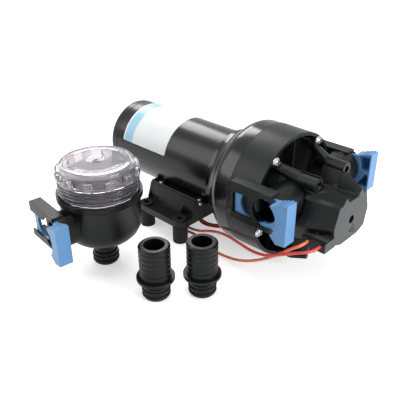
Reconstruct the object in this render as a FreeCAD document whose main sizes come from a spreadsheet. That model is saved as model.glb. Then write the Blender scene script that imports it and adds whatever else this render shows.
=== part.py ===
import FreeCAD, Part
import math
import os
from types import SimpleNamespace

import Sketcher

# Diaphragm water pump for a caravan: a motor, a five-chamber pump head with two snap-in
# ports, a saddle base on rubber feet, a strainer and two loose hose tails.
# Frame: origin at floor level in the middle of the base's bolt pattern, +X along the motor
# axis towards the pump head, +Z up. The camera side of the photograph is -Y.
# Heights and widths written "local" below are counted from the motor axis.

Vector = FreeCAD.Vector
Rotation = FreeCAD.Rotation
doc = FreeCAD.newDocument("DiaphragmPump")
sheet = doc.addObject("Spreadsheet::Sheet", "Sizes")

SIZES = [
    # Motor
    ("axis_height", 70.0),
    ("motor_rear_x", -102.0),
    ("motor_radius", 40.3),
    ("can_length", 146.5),
    ("can_wall", 2.0),
    ("cap_length", 11.5),
    ("cap_floor", 4.0),
    ("cap_edge_radius", 5.0),
    ("spigot_length", 4.0),
    ("spigot_wall", 2.7),
    ("bearing_radius", 13.0),
    ("bearing_width", 8.0),
    ("bearing_wall", 3.0),
    ("shaft_radius", 5.0),
    ("shaft_front_gap", 1.5),
    ("run_gap", 0.05),
    ("seat_gap", 0.1),
    ("plate_thickness", 4.0),
    ("plate_bore_radius", 8.0),
    ("magnet_inner_radius", 31.2),
    ("magnet_gap", 28.0),
    ("magnet_overhang", 8.0),
    ("core_radius", 30.2),
    ("core_clearance", 59.5),
    ("core_front_gap", 20.0),
    ("slot_width", 3.4),
    ("slot_depth", 13.0),
    ("winding_length", 12.0),
    ("winding_radius", 27.0),
    ("winding_bore", 8.0),
    ("wire_gap", 0.3),
    ("commutator_radius", 11.0),
    ("commutator_length", 12.0),
    ("commutator_gap", 2.0),
    ("brush_width", 7.0),
    ("brush_height", 8.0),
    ("brush_length", 12.0),
    ("brush_gap", 0.3),
    ("brush_spring_radius", 2.6),
    ("brush_spring_length", 6.0),
    ("holder_wall", 1.4),
    ("card_thickness", 2.0),
    ("card_bore", 15.0),
    ("bolt_circle", 34.6),
    ("bolt_radius", 2.0),
    ("bolt_head_radius", 4.0),
    ("bolt_head_height", 2.5),
    ("hole_gap", 0.15),
    # Rear housing of the pump head
    ("neck_radius", 45.0),
    ("neck_reach", 9.0),
    ("neck_flat", 3.0),
    ("web_thickness", 4.0),
    ("web_bore", 20.0),
    ("bell_depth", 34.0),
    ("head_radius", 62.0),
    ("head_flat", 12.0),
    ("throat_wall", 2.0),
    ("lip_inset", 14.0),
    ("lip_start", 14.0),
    ("fixing_circle", 28.0),
    # Nutating drive
    ("tilt", 3.5),
    ("nutation_offset", 14.0),
    ("hub_radius", 12.0),
    ("hub_length", 10.0),
    ("journal_radius", 8.0),
    ("journal_reach", 5.0),
    ("cam_bearing_radius", 14.0),
    ("cam_bearing_width", 9.0),
    ("wobble_hub_radius", 18.0),
    ("wobble_front", 8.0),
    ("wobble_plate", 4.0),
    ("arm_width", 15.0),
    ("piston_circle", 28.0),
    ("pad_radius", 10.0),
    ("piston_neck_radius", 7.0),
    ("piston_neck_end", 16.5),
    ("piston_radius", 9.3),
    ("piston_thickness", 2.0),
    ("piston_screw_radius", 1.8),
    ("piston_screw_length", 12.0),
    ("piston_screw_head", 3.4),
    ("piston_screw_height", 1.6),
    # Pump head
    ("diaphragm_inset", 9.6),
    ("diaphragm_thickness", 2.0),
    ("diaphragm_hole", 9.2),
    ("valve_plate_thickness", 13.0),
    ("chamber_radius", 11.9),
    ("chamber_depth", 9.2),
    ("valve_hole_radius", 2.4),
    ("valve_hole_circle", 33.0),
    ("inlet_valve_radius", 4.6),
    ("valve_disc", 0.8),
    ("valve_stem_radius", 1.4),
    ("outlet_valve_radius", 11.0),
    ("outlet_valve_height", 0.8),
    ("seal_thickness", 1.0),
    ("seal_width", 2.5),
    ("seal_inset", 1.5),
    ("head_depth", 31.2),
    ("rim_draft", 0.5),
    ("rim_wall", 3.4),
    ("floor_thickness", 3.0),
    ("cover_screw_inset", 5.8),
    ("tunnel_radius", 5.3),
    ("screw_radius", 2.0),
    ("screw_head_radius", 4.75),
    ("screw_head_height", 3.2),
    ("screw_grip", 40.0),
    ("cross_length", 5.6),
    ("cross_width", 1.1),
    ("cross_depth", 1.6),
    ("rib_thickness", 2.0),
    ("rib_height", 11.0),
    # Switch boss: a star section that shrinks past the screw tubes towards the end face
    ("root_reach", 33.0),
    ("waist_reach", 71.0),
    ("face_reach", 93.7),
    ("root_valley_y", 10.0),
    ("root_valley_z", 18.0),
    ("root_peak_y", 26.0),
    ("root_peak_z", 38.0),
    ("root_ledge_y", 34.0),
    ("root_ledge_z", 26.0),
    ("root_shoulder_y", 38.0),
    ("root_shoulder_z", 20.0),
    ("root_flank_y", 50.0),
    ("root_flank_z", -8.0),
    ("root_hip_y", 40.0),
    ("root_hip_z", -24.0),
    ("root_sole_y", 14.0),
    ("root_sole_z", -36.0),
    ("waist_valley_y", 7.6),
    ("waist_valley_z", 18.0),
    ("waist_peak_y", 18.8),
    ("waist_peak_z", 34.0),
    ("waist_ledge_y", 26.2),
    ("waist_ledge_z", 22.5),
    ("waist_shoulder_y", 29.5),
    ("waist_shoulder_z", 19.5),
    ("waist_flank_y", 36.0),
    ("waist_flank_z", -4.0),
    ("waist_hip_y", 30.5),
    ("waist_hip_z", -19.0),
    ("waist_sole_y", 14.0),
    ("waist_sole_z", -27.0),
    ("face_valley_y", 7.8),
    ("face_valley_z", 18.2),
    ("face_peak_y", 12.2),
    ("face_peak_z", 24.0),
    ("face_ledge_y", 17.8),
    ("face_ledge_z", 18.4),
    ("face_shoulder_y", 22.6),
    ("face_shoulder_z", 18.0),
    ("face_flank_y", 28.5),
    ("face_flank_z", -1.0),
    ("face_hip_y", 25.0),
    ("face_hip_z", -18.0),
    ("face_sole_y", 14.0),
    ("face_sole_z", -22.0),
    ("cover_reach", 52.0),
    ("ridge_y", 22.5),
    ("ridge_z", 32.0),
    ("ridge_radius", 6.6),
    ("ridge_root_radius", 4.2),
    ("ridge_root_y", 31.0),
    ("ridge_root_z", 42.5),
    ("ridge_root_depth", 7.0),
    ("access_radius", 3.5),
    ("scoop_radius", 5.2),
    ("access_start_reach", 58.0),
    ("cover_screw_tip_reach", 42.0),
    ("cover_head_height", 2.4),
    ("duct_start_reach", 70.0),
    ("duct_inner_y", 24.0),
    ("duct_outer_y", 40.3),
    ("duct_top_z", -9.6),
    ("duct_bottom_z", -19.3),
    # Pressure switch
    ("switch_z", -1.7),
    ("cavity_half_width", 14.0),
    ("cavity_top", 12.5),
    ("cavity_bottom", -15.5),
    ("cavity_depth", 31.0),
    ("switch_seal_radius", 11.5),
    ("switch_seal_thickness", 1.6),
    ("pressure_hole_radius", 4.0),
    ("plunger_radius", 5.0),
    ("plunger_thickness", 3.0),
    ("plunger_pin_radius", 1.5),
    ("spring_radius", 5.6),
    ("spring_wire", 1.2),
    ("spring_length", 10.0),
    ("seat_radius", 6.4),
    ("seat_thickness", 4.0),
    ("adjuster_radius", 2.2),
    ("adjuster_head_radius", 3.6),
    ("adjuster_head_length", 4.0),
    ("adjuster_recess", 3.2),
    ("adjuster_hole_radius", 4.0),
    ("adjuster_lead", 0.7),
    ("vent_radius", 1.3),
    ("vent_z", -13.9),
    ("vent_depth", 4.0),
    ("micro_length", 20.0),
    ("micro_width", 18.0),
    ("micro_height", 5.6),
    ("micro_start_reach", 55.5),
    # Ports, shared by the pump and the strainer
    ("port_reach", 46.0),
    ("port_z", 14.0),
    ("port_face", 66.2),
    ("port_tube_radius", 17.0),
    ("port_tube_start", 25.0),
    ("port_bore_radius", 12.8),
    ("port_bore_depth", 16.0),
    ("passage_radius", 6.0),
    ("passage_inner_y", 15.0),
    ("gallery_radius", 5.0),
    ("gallery_y", 20.0),
    ("frame_rear", 37.7),
    ("frame_front", 7.0),
    ("frame_half_height", 18.2),
    ("frame_depth", 12.0),
    ("frame_end_wall", 2.7),
    ("slot_half_height", 15.3),
    ("front_wall", 2.0),
    ("clip_thickness", 3.0),
    ("clip_gap", 0.2),
    ("window_top", 8.5),
    ("window_bottom", -12.0),
    ("collar_recess_radius", 15.4),
    ("clip_rear", 34.0),
    ("clip_half_height", 15.0),
    ("clip_lock_radius", 11.0),
    ("clip_pass_radius", 13.7),
    ("clip_travel", 10.0),
    ("clip_corner", 3.0),
    ("handle_inner_x", 11.5),
    ("handle_outer_x", 28.9),
    ("handle_reach", 10.2),
    ("handle_top", 20.1),
    ("handle_bottom", -18.4),
    ("handle_notch_radius", 18.2),
    ("handle_chin_x", 19.5),
    ("serration_pitch", 3.6),
    ("serration_rise", 1.5),
    ("pocket_depth", 11.4),
    # Base saddle and feet
    ("foot_x", 25.5),
    ("foot_y", 55.5),
    ("foot_radius", 8.0),
    ("foot_neck_radius", 5.5),
    ("foot_cap_radius", 7.4),
    ("foot_cap_height", 2.0),
    ("mount_hole_radius", 2.75),
    ("base_bottom", 19.0),
    ("base_plate", 7.0),
    ("base_half_width", 62.5),
    ("base_half_length", 34.0),
    ("base_corner", 8.5),
    ("slope_foot_y", 46.5),
    ("slope_top_y", 41.0),
    ("slope_drop", 26.0),
    ("bracket_rear_x", -33.0),
    ("bracket_front_gap", 14.0),
    ("bracket_thickness", 2.0),
    ("bracket_inset", 0.8),
    ("arch_radius", 11.0),
    ("arch_y", 53.0),
    ("base_pocket_half_width", 42.0),
    ("base_pocket_height", 7.0),
    ("base_wall", 3.0),
    ("strap_screw_rear_x", -20.0),
    ("strap_screw_front_gap", 23.0),
    ("strap_screw_y", 37.4),
    ("strap_screw_radius", 1.6),
    ("strap_screw_length", 6.0),
    ("strap_head_radius", 2.6),
    ("strap_head_height", 1.6),
    ("grommet_radius", 3.4),
    ("grommet_drop", 3.0),
    # Plug, shared by the hose tails and the strainer's spigot
    ("plug_radius", 12.0),
    ("plug_groove_radius", 10.4),
    ("plug_neck_radius", 10.8),
    ("plug_bore_radius", 9.2),
    ("plug_tip", 2.2),
    ("plug_chamfer", 1.0),
    ("ring_width", 2.8),
    ("ring_outer_radius", 13.2),
    ("plug_land", 2.5),
    ("plug_neck_start", 13.4),
    ("collar_start", 19.0),
    ("collar_thickness", 3.0),
    ("collar_radius", 17.6),
    ("barb_radius", 14.5),
    ("barb_valley_radius", 13.8),
    ("barb_pitch", 5.0),
    ("tail_height", 55.0),
    ("tail_top_chamfer", 1.6),
    ("left_tail_x", 73.8),
    ("left_tail_y", -134.1),
    ("right_tail_x", 101.1),
    ("right_tail_y", -101.7),
    # Strainer
    ("strainer_x", -4.8),
    ("strainer_y", -130.1),
    ("strainer_turn", -5.8),
    ("strainer_bottom", 29.0),
    ("strainer_radius", 38.0),
    ("strainer_wall", 2.6),
    ("strainer_bowl_radius", 19.0),
    ("spigot_cone_radius", 16.0),
    ("strainer_rim", 80.0),
    ("strainer_rim_radius", 40.6),
    ("strainer_rim_height", 5.0),
    ("strainer_ledge", 71.0),
    ("strainer_port_height", 53.0),
    ("strainer_port_face", 54.9),
    ("lid_seat_radius", 36.6),
    ("lid_skirt_radius", 37.0),
    ("lid_thread_radius", 38.0),
    ("lid_thread_pitch", 4.0),
    ("lid_wall", 2.4),
    ("lid_skirt_bottom", 73.5),
    ("lid_flange_bottom", 95.5),
    ("lid_flange_top", 100.0),
    ("lid_flange_radius", 39.5),
    ("lid_lug_width", 6.0),
    ("lid_lug_reach", 1.6),
    ("lid_shoulder_radius", 34.0),
    ("lid_shoulder_z", 107.0),
    ("lid_disc_radius", 26.5),
    ("lid_top", 110.0),
    ("lid_recess", 1.6),
    ("lid_recess_radius", 24.5),
    ("lid_nub_radius", 3.4),
    ("screen_radius", 29.0),
    ("screen_wall", 1.2),
    ("screen_bottom", 40.0),
    ("screen_rim_height", 2.0),
    ("lead_radius", 1.4),
]

for row, (alias, number) in enumerate(SIZES, start=1):
    sheet.set(f"A{row}", alias)
    sheet.set(f"B{row}", str(number))
    sheet.setAlias(f"B{row}", alias)
doc.recompute()


class Size:
    """A number that remembers which sheet cells it is worked out from."""

    def __init__(self, number, text):
        self.number = float(number)
        self.text = text

    def combined(self, other, sign):
        other = as_size(other)
        numbers = {
            "+": self.number + other.number,
            "-": self.number - other.number,
            "*": self.number * other.number,
        }
        if sign == "/":
            return Size(self.number / other.number, f"({self.text} / {other.text})")
        return Size(numbers[sign], f"({self.text} {sign} {other.text})")

    def __add__(self, other):
        return self.combined(other, "+")

    def __radd__(self, other):
        return as_size(other).combined(self, "+")

    def __sub__(self, other):
        return self.combined(other, "-")

    def __rsub__(self, other):
        return as_size(other).combined(self, "-")

    def __mul__(self, other):
        return self.combined(other, "*")

    def __rmul__(self, other):
        return as_size(other).combined(self, "*")

    def __truediv__(self, other):
        return self.combined(other, "/")

    def __neg__(self):
        return as_size(0.0).combined(self, "-")


def as_size(value):
    """A plain number as a Size, so that both kinds mix in a formula."""
    if isinstance(value, Size):
        return value
    return Size(value, f"({value:.9f})")


def plain(value):
    """The number of a Size, or a plain number as it is."""
    return value.number if isinstance(value, Size) else float(value)


def tie(thing, prop, value):
    """Binds one property to the sheet, or sets it where the value is a plain number."""
    if isinstance(value, Size):
        thing.setExpression(prop, value.text)
    else:
        setattr(thing, prop, value)


UPRIGHT = Rotation()
TURNS = {
    "X": Rotation(Vector(0, 1, 0), 90),
    "Y": Rotation(Vector(1, 0, 0), -90),
    "Z": UPRIGHT,
}


def put(thing, at, turn=UPRIGHT):
    """Places a thing, with each coordinate bound to the sheet."""
    thing.Placement = FreeCAD.Placement(Vector(*[plain(value) for value in at]), turn)
    for name, value in zip("xyz", at):
        if isinstance(value, Size):
            thing.setExpression("Placement.Base." + name, value.text)
    return thing


def rod(radius, length, at, along="X"):
    """A cylinder that starts at a point and runs along one axis."""
    thing = doc.addObject("Part::Cylinder", "Rod")
    tie(thing, "Radius", radius)
    tie(thing, "Height", length)
    return put(thing, at, TURNS[along])


def block(xs, ys, zs):
    """A box between two limits along each axis."""
    thing = doc.addObject("Part::Box", "Block")
    for prop, (low, high) in zip(("Length", "Width", "Height"), (xs, ys, zs)):
        tie(thing, prop, as_size(high) - low)
    return put(thing, (as_size(xs[0]), as_size(ys[0]), as_size(zs[0])))


def joined(*things):
    """One solid out of several that touch or overlap."""
    thing = doc.addObject("Part::MultiFuse", "Joined")
    thing.Shapes = list(things)
    thing.Refine = True
    return thing


def cut(base, *tools):
    """A solid with one or more tools taken away."""
    thing = doc.addObject("Part::Cut", "Cut")
    thing.Base = base
    thing.Tool = tools[0] if len(tools) == 1 else joined(*tools)
    thing.Refine = True
    return thing


def tapered(near, far):
    """A round bar between two discs, each given as (radius, place) and facing +X."""
    discs = []
    for radius, at in (near, far):
        disc = doc.addObject("Part::Circle", "Disc")
        tie(disc, "Radius", radius)
        discs.append(put(disc, at, TURNS["X"]))
    bar = doc.addObject("Part::Loft", "Tapered")
    bar.Sections = discs
    bar.Solid = True
    return bar


def shared(base, tool):
    """What two solids have in common."""
    thing = doc.addObject("Part::Common", "Shared")
    thing.Base = base
    thing.Tool = tool
    return thing


def grouped(things):
    """Separate solids in one sub-part."""
    thing = doc.addObject("Part::Compound", "Group")
    thing.Links = list(things)
    return thing


PIECES = []


def piece(label, thing):
    """Names a finished sub-part and keeps it for the export."""
    thing.Label = label
    PIECES.append(thing)
    return thing


def arc_between(start, end, radius, side):
    """An arc from one corner to the next; side 1 turns left, side -1 turns right."""
    chord = end - start
    middle = (start + end) * 0.5
    normal = Vector(-chord.y, chord.x, 0) / chord.Length
    height = math.sqrt(max(radius * radius - chord.Length ** 2 / 4, 0.0))
    centre = middle + normal * (side * height)
    first, last = (start, end) if side > 0 else (end, start)
    angles = [math.atan2(place.y - centre.y, place.x - centre.x) for place in (first, last)]
    circle = Part.Circle(centre, Vector(0, 0, 1), radius)
    return Part.ArcOfCircle(circle, angles[0], angles[1])


def outline(body, role, corners, offset=None):
    """A closed sketch on an origin plane with every corner tied to the sheet.

    A corner is (across, up), or (across, up, radius, side) where the edge that leads to it
    is an arc."""
    sketch = body.newObject("Sketcher::SketchObject", "Outline")
    plane = [item for item in body.Origin.OriginFeatures if item.Role == role][0]
    sketch.AttachmentSupport = [(plane, "")]
    sketch.MapMode = "FlatFace"
    if offset is not None:
        sketch.AttachmentOffset = FreeCAD.Placement(Vector(0, 0, plain(offset)), UPRIGHT)
        sketch.setExpression("AttachmentOffset.Base.z", as_size(offset).text)
    places = [Vector(plain(corner[0]), plain(corner[1]), 0) for corner in corners]
    turned = []
    for index, corner in enumerate(corners):
        start, end = places[index - 1], places[index]
        if len(corner) == 4:
            sketch.addGeometry(arc_between(start, end, plain(corner[2]), corner[3]), False)
        else:
            sketch.addGeometry(Part.LineSegment(start, end), False)
        turned.append(len(corner) == 4 and corner[3] < 0)
    for index, corner in enumerate(corners):
        following = (index + 1) % len(corners)
        end_point = 1 if turned[index] else 2
        start_point = 2 if turned[following] else 1
        join = Sketcher.Constraint("Coincident", index, end_point, following, start_point)
        sketch.addConstraint(join)
        for kind, axis, value in (("DistanceX", -2, corner[0]), ("DistanceY", -1, corner[1])):
            if isinstance(value, Size):
                rule = Sketcher.Constraint(kind, -1, 1, index, end_point, value.number)
                row = sketch.addConstraint(rule)
                sketch.setExpression(f"Constraints[{row}]", value.text)
            else:
                rule = Sketcher.Constraint("PointOnObject", index, end_point, axis)
                sketch.addConstraint(rule)
        if len(corner) == 4:
            row = sketch.addConstraint(Sketcher.Constraint("Radius", index, plain(corner[2])))
            sketch.setExpression(f"Constraints[{row}]", as_size(corner[2]).text)
    return sketch


def new_body(at=(0.0, 0.0, 0.0), turn=UPRIGHT):
    """An empty body at its place."""
    return put(doc.addObject("PartDesign::Body", "Body"), at, turn)


def turned_piece(corners, at, along="X", turn=UPRIGHT):
    """A turned body. Corners are (along the axis, radius) for X and (radius, height) for Z."""
    body = new_body(at, turn)
    sketch = outline(body, "XZ_Plane", corners)
    feature = body.newObject("PartDesign::Revolution", "Turned")
    feature.Profile = sketch
    feature.ReferenceAxis = (sketch, ["H_Axis" if along == "X" else "V_Axis"])
    feature.Angle = 360.0
    return body


def extruded(corners, role, length, at, turn=UPRIGHT):
    """A padded outline that grows along the positive axis square to its plane."""
    body = new_body(at, turn)
    sketch = outline(body, role, corners)
    feature = body.newObject("PartDesign::Pad", "Padded")
    feature.Profile = sketch
    tie(feature, "Length", length)
    feature.Reversed = role == "XZ_Plane"
    return body


def ring(inner, outer, low, high, at, along="X", turn=UPRIGHT):
    """A plain ring between two stations along its axis."""
    if along == "X":
        corners = [(low, inner), (low, outer), (high, outer), (high, inner)]
    else:
        corners = [(inner, low), (outer, low), (outer, high), (inner, high)]
    return turned_piece([(as_size(a), as_size(b)) for a, b in corners], at, along, turn)


def rounded(across, up, radius, first, last, steps=3):
    """A rounded corner in a few flats, about a centre and from one angle to another in degrees."""
    places = []
    for index in range(steps + 1):
        turn = math.radians(first + (last - first) * index / steps)
        places.append((across + radius * math.cos(turn), up + radius * math.sin(turn)))
    return places


def around(count, radius, first=0.0):
    """Evenly spaced places on a circle, as (angle in degrees, across, up)."""
    places = []
    for index in range(count):
        angle = first + 360.0 * index / count
        turn = math.radians(angle)
        places.append((angle, radius * math.cos(turn), radius * math.sin(turn)))
    return places


S = SimpleNamespace(**{alias: Size(float(sheet.get(alias)), "Sizes." + alias)
                       for alias, number in SIZES})

AXIS = (0.0, 0.0, S.axis_height)
ZERO = as_size(0.0)

# Stations along the motor axis
can_rear_x = S.motor_rear_x + S.cap_length
can_front_x = can_rear_x + S.can_length
plate_front_x = can_front_x + S.plate_thickness
web_front_x = plate_front_x + S.web_thickness
seam_x = plate_front_x + S.bell_depth
rim_x = seam_x + S.head_depth
floor_rear_x = seam_x + S.valve_plate_thickness + S.seal_thickness
floor_front_x = floor_rear_x + S.floor_thickness
boss_root_x = seam_x + S.root_reach
boss_face_x = seam_x + S.face_reach
cover_rear_x = seam_x + S.cover_reach
cover_tip_x = seam_x + S.cover_screw_tip_reach
boss_waist_x = seam_x + S.waist_reach
access_rear_x = seam_x + S.access_start_reach
duct_rear_x = seam_x + S.duct_start_reach
micro_rear_x = seam_x + S.micro_start_reach
pump_port_x = seam_x + S.port_reach
hub_rear_x = plate_front_x + S.shaft_front_gap
can_bore = S.motor_radius - S.can_wall
plate_radius = S.head_radius - S.diaphragm_inset
rim_radius = S.head_radius - S.rim_draft
cover_screw_circle = S.head_radius - S.cover_screw_inset
bearing_seat = S.bearing_radius + S.run_gap
rear_bearing_x = S.motor_rear_x + S.cap_floor
front_bearing_x = plate_front_x - S.bearing_width
core_front_x = front_bearing_x - S.core_front_gap
core_length = S.can_length - S.core_clearance
core_rear_x = core_front_x - core_length
winding_rear_x = core_rear_x - S.winding_length
commutator_x = winding_rear_x - S.commutator_gap - S.commutator_length
card_x = can_rear_x + S.spigot_length
nutation_x = seam_x - S.nutation_offset
grommet_x = plate_front_x - S.neck_reach / 2
bracket_front_x = plate_front_x - S.bracket_front_gap
strap_front_x = plate_front_x - S.strap_screw_front_gap
slope_top_z = S.axis_height - S.slope_drop
bracket_top_z = slope_top_z + S.bracket_thickness
LEAN = Rotation(Vector(0, 1, 0), plain(S.tilt))


def leaning(thing):
    """Ties a drive piece's lean about Y to the tilt size."""
    thing.setExpression("Placement.Rotation.Angle", f"{S.tilt.text} * 1 deg")
    return thing


def bolt(at, along, shank_radius, shank_length, head_radius, head_height, head_at):
    """A plain fixing: a shank and a round head."""
    shank = rod(shank_radius, shank_length, at, along)
    return joined(shank, rod(head_radius, head_height, head_at, along))


def motor_shell():
    """Can, rear cap, front plate, through bolts and the fixings to the pump head."""
    piece("motor_can", ring(can_bore, S.motor_radius, can_rear_x, can_front_x, AXIS))

    inside = can_bore - S.seat_gap
    edge = S.cap_edge_radius
    cap = turned_piece([
        (S.motor_rear_x, 0.0),
        *rounded(S.motor_rear_x + edge, S.motor_radius - edge, edge, 180, 90),
        (can_rear_x, S.motor_radius),
        (can_rear_x, inside),
        (card_x, inside),
        (card_x, inside - S.spigot_wall),
        (rear_bearing_x, inside - S.spigot_wall),
        (rear_bearing_x, bearing_seat + S.bearing_wall),
        (rear_bearing_x + S.bearing_width, bearing_seat + S.bearing_wall),
        (rear_bearing_x + S.bearing_width, bearing_seat),
        (rear_bearing_x, bearing_seat),
        (rear_bearing_x, 0.0),
    ], AXIS)
    hole = S.bolt_radius + S.hole_gap
    tools = [rod(hole, S.cap_length * 2, (S.motor_rear_x - 1, 0.0, S.axis_height + side * S.bolt_circle))
             for side in (-1, 1)]
    piece("motor_end_cap", cut(cap, *tools))

    plate = turned_piece([
        (plate_front_x, bearing_seat),
        (plate_front_x, S.motor_radius),
        (can_front_x, S.motor_radius),
        (can_front_x, inside),
        (can_front_x - S.spigot_length, inside),
        (can_front_x - S.spigot_length, inside - S.spigot_wall),
        (can_front_x, inside - S.spigot_wall),
        (can_front_x, bearing_seat + S.bearing_wall),
        (front_bearing_x - S.bearing_wall, bearing_seat + S.bearing_wall),
        (front_bearing_x - S.bearing_wall, S.plate_bore_radius),
        (front_bearing_x, S.plate_bore_radius),
        (front_bearing_x, bearing_seat),
    ], AXIS)
    tools = []
    for side in (-1, 1):
        tools.append(rod(hole, S.plate_thickness * 4,
                         (can_front_x - S.plate_thickness * 2, 0.0,
                          S.axis_height + side * S.bolt_circle)))
        tools.append(rod(hole, S.plate_thickness * 2,
                         (can_front_x - 1, side * S.fixing_circle, S.axis_height)))
    piece("motor_front_plate", cut(plate, *tools))

    bolts = []
    for side in (-1, 1):
        z = S.axis_height + side * S.bolt_circle
        head_x = S.motor_rear_x - S.bolt_head_height
        bolts.append(bolt((S.motor_rear_x, 0.0, z), "X", S.bolt_radius,
                          plate_front_x - S.motor_rear_x, S.bolt_head_radius,
                          S.bolt_head_height, (head_x, 0.0, z)))
    piece("motor_through_bolts", grouped(bolts))

    fixings = []
    for side in (-1, 1):
        y = side * S.fixing_circle
        fixings.append(bolt((can_front_x, y, S.axis_height), "X", S.bolt_radius,
                            web_front_x - can_front_x, S.bolt_head_radius,
                            S.bolt_head_height, (web_front_x, y, S.axis_height)))
    piece("motor_fixing_screws", grouped(fixings))


def motor_inside():
    """Magnets, armature, commutator, brushes and shaft."""
    bearings = [ring(S.shaft_radius + S.run_gap, S.bearing_radius, rear_x, rear_x + S.bearing_width,
                     AXIS) for rear_x in (rear_bearing_x, front_bearing_x)]
    piece("motor_bearings", grouped(bearings))

    magnet_rear_x = core_rear_x - S.magnet_overhang
    magnet_front_x = core_front_x + S.magnet_overhang
    magnets = ring(S.magnet_inner_radius, can_bore - S.seat_gap, magnet_rear_x, magnet_front_x, AXIS)
    poles_gap = block((magnet_rear_x - 1, magnet_front_x + 1), (-S.magnet_gap / 2, S.magnet_gap / 2),
                      (ZERO, S.axis_height * 2))
    piece("field_magnets", cut(magnets, poles_gap))

    bore = S.shaft_radius + S.run_gap
    core = ring(bore, S.core_radius, core_rear_x, core_front_x, AXIS)
    slots, wires = [], []
    slot_floor = S.core_radius - S.slot_depth
    for angle, y, z in around(12, ZERO + 1.0, 15.0):
        turn = Rotation(Vector(1, 0, 0), angle)
        slot = block((ZERO, core_length + 2), (slot_floor, S.core_radius + 1),
                     (-S.slot_width / 2, S.slot_width / 2))
        wire = block((ZERO, core_length + S.winding_length),
                     (slot_floor + S.wire_gap, S.winding_radius),
                     (S.wire_gap - S.slot_width / 2, S.slot_width / 2 - S.wire_gap))
        slots.append(turned_block(slot, core_rear_x - 1, slot_floor, -S.slot_width / 2, turn))
        wires.append(turned_block(wire, core_rear_x - S.winding_length / 2,
                                  slot_floor + S.wire_gap, S.wire_gap - S.slot_width / 2, turn))
    piece("armature_core", cut(core, *slots))
    ends = [ring(S.winding_bore, S.winding_radius, low, high, AXIS)
            for low, high in ((winding_rear_x, core_rear_x - S.seat_gap),
                              (core_front_x + S.seat_gap, core_front_x + S.winding_length))]
    piece("armature_windings", joined(*ends, *wires))

    piece("commutator", ring(bore, S.commutator_radius, commutator_x,
                             commutator_x + S.commutator_length, AXIS))
    shaft_front_x = nutation_x - S.shaft_front_gap
    chamfer = S.shaft_radius / 8
    piece("motor_shaft", turned_piece([
        (rear_bearing_x + S.run_gap, 0.0),
        (rear_bearing_x + S.run_gap, S.shaft_radius - chamfer),
        (rear_bearing_x + S.run_gap + chamfer, S.shaft_radius),
        (shaft_front_x - chamfer, S.shaft_radius),
        (shaft_front_x, S.shaft_radius - chamfer),
        (shaft_front_x, 0.0),
    ], AXIS))
    brush_gear()


def turned_block(thing, x, y, z, turn):
    """Places a block, given by its own low corner, turned about the motor axis."""
    spun = turn.multVec(Vector(0, plain(y), plain(z)))
    thing.setExpression("Placement.Base.x", as_size(x).text)
    cosine, sine = math.cos(turn.Angle * turn.Axis.x), math.sin(turn.Angle * turn.Axis.x)
    thing.Placement = FreeCAD.Placement(Vector(plain(x), spun.y, plain(S.axis_height) + spun.z), turn)
    thing.setExpression("Placement.Base.y", (y * cosine - z * sine).text)
    thing.setExpression("Placement.Base.z", (S.axis_height + y * sine + z * cosine).text)
    return thing


def brush_gear():
    """The card in the end cap, its two brush boxes, the brushes and their springs."""
    middle_x = commutator_x + S.commutator_length / 2
    brush_xs = (middle_x - S.brush_width / 2, middle_x + S.brush_width / 2)
    brush_zs = (S.axis_height - S.brush_height / 2, S.axis_height + S.brush_height / 2)
    near = S.commutator_radius + S.brush_gap
    far = near + S.brush_length
    spring_end = far + S.brush_spring_length
    card = ring(S.card_bore, can_bore - S.seat_gap, card_x, card_x + S.card_thickness, AXIS)
    boxes, tools, brushes, springs = [], [], [], []
    for side in (-1, 1):
        reach = sorted((side * (near + S.brush_gap * 8), side * (spring_end + S.holder_wall)),
                       key=plain)
        hollow = sorted((side * near, side * spring_end), key=plain)
        brush = sorted((side * near, side * far), key=plain)
        grow = S.holder_wall + S.brush_gap
        boxes.append(block((card_x + S.card_thickness, brush_xs[1] + grow), reach,
                           (brush_zs[0] - grow, brush_zs[1] + grow)))
        tools.append(block((brush_xs[0] - S.brush_gap, brush_xs[1] + S.brush_gap), hollow,
                           (brush_zs[0] - S.brush_gap, brush_zs[1] + S.brush_gap)))
        brushes.append(block(brush_xs, brush, brush_zs))
        start = far + S.seat_gap if side > 0 else -spring_end + S.seat_gap
        springs.append(rod(S.brush_spring_radius, S.brush_spring_length - S.seat_gap * 2,
                           (middle_x, start, S.axis_height), "Y"))
    for side in (-1, 1):
        tools.append(rod(S.bolt_radius + S.hole_gap, S.card_thickness * 2,
                         (card_x - 1, 0.0, S.axis_height + side * S.bolt_circle)))
    piece("brush_card", cut(joined(card, *boxes), *tools))
    piece("brushes", grouped(brushes))
    piece("brush_springs", grouped(springs))


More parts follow.
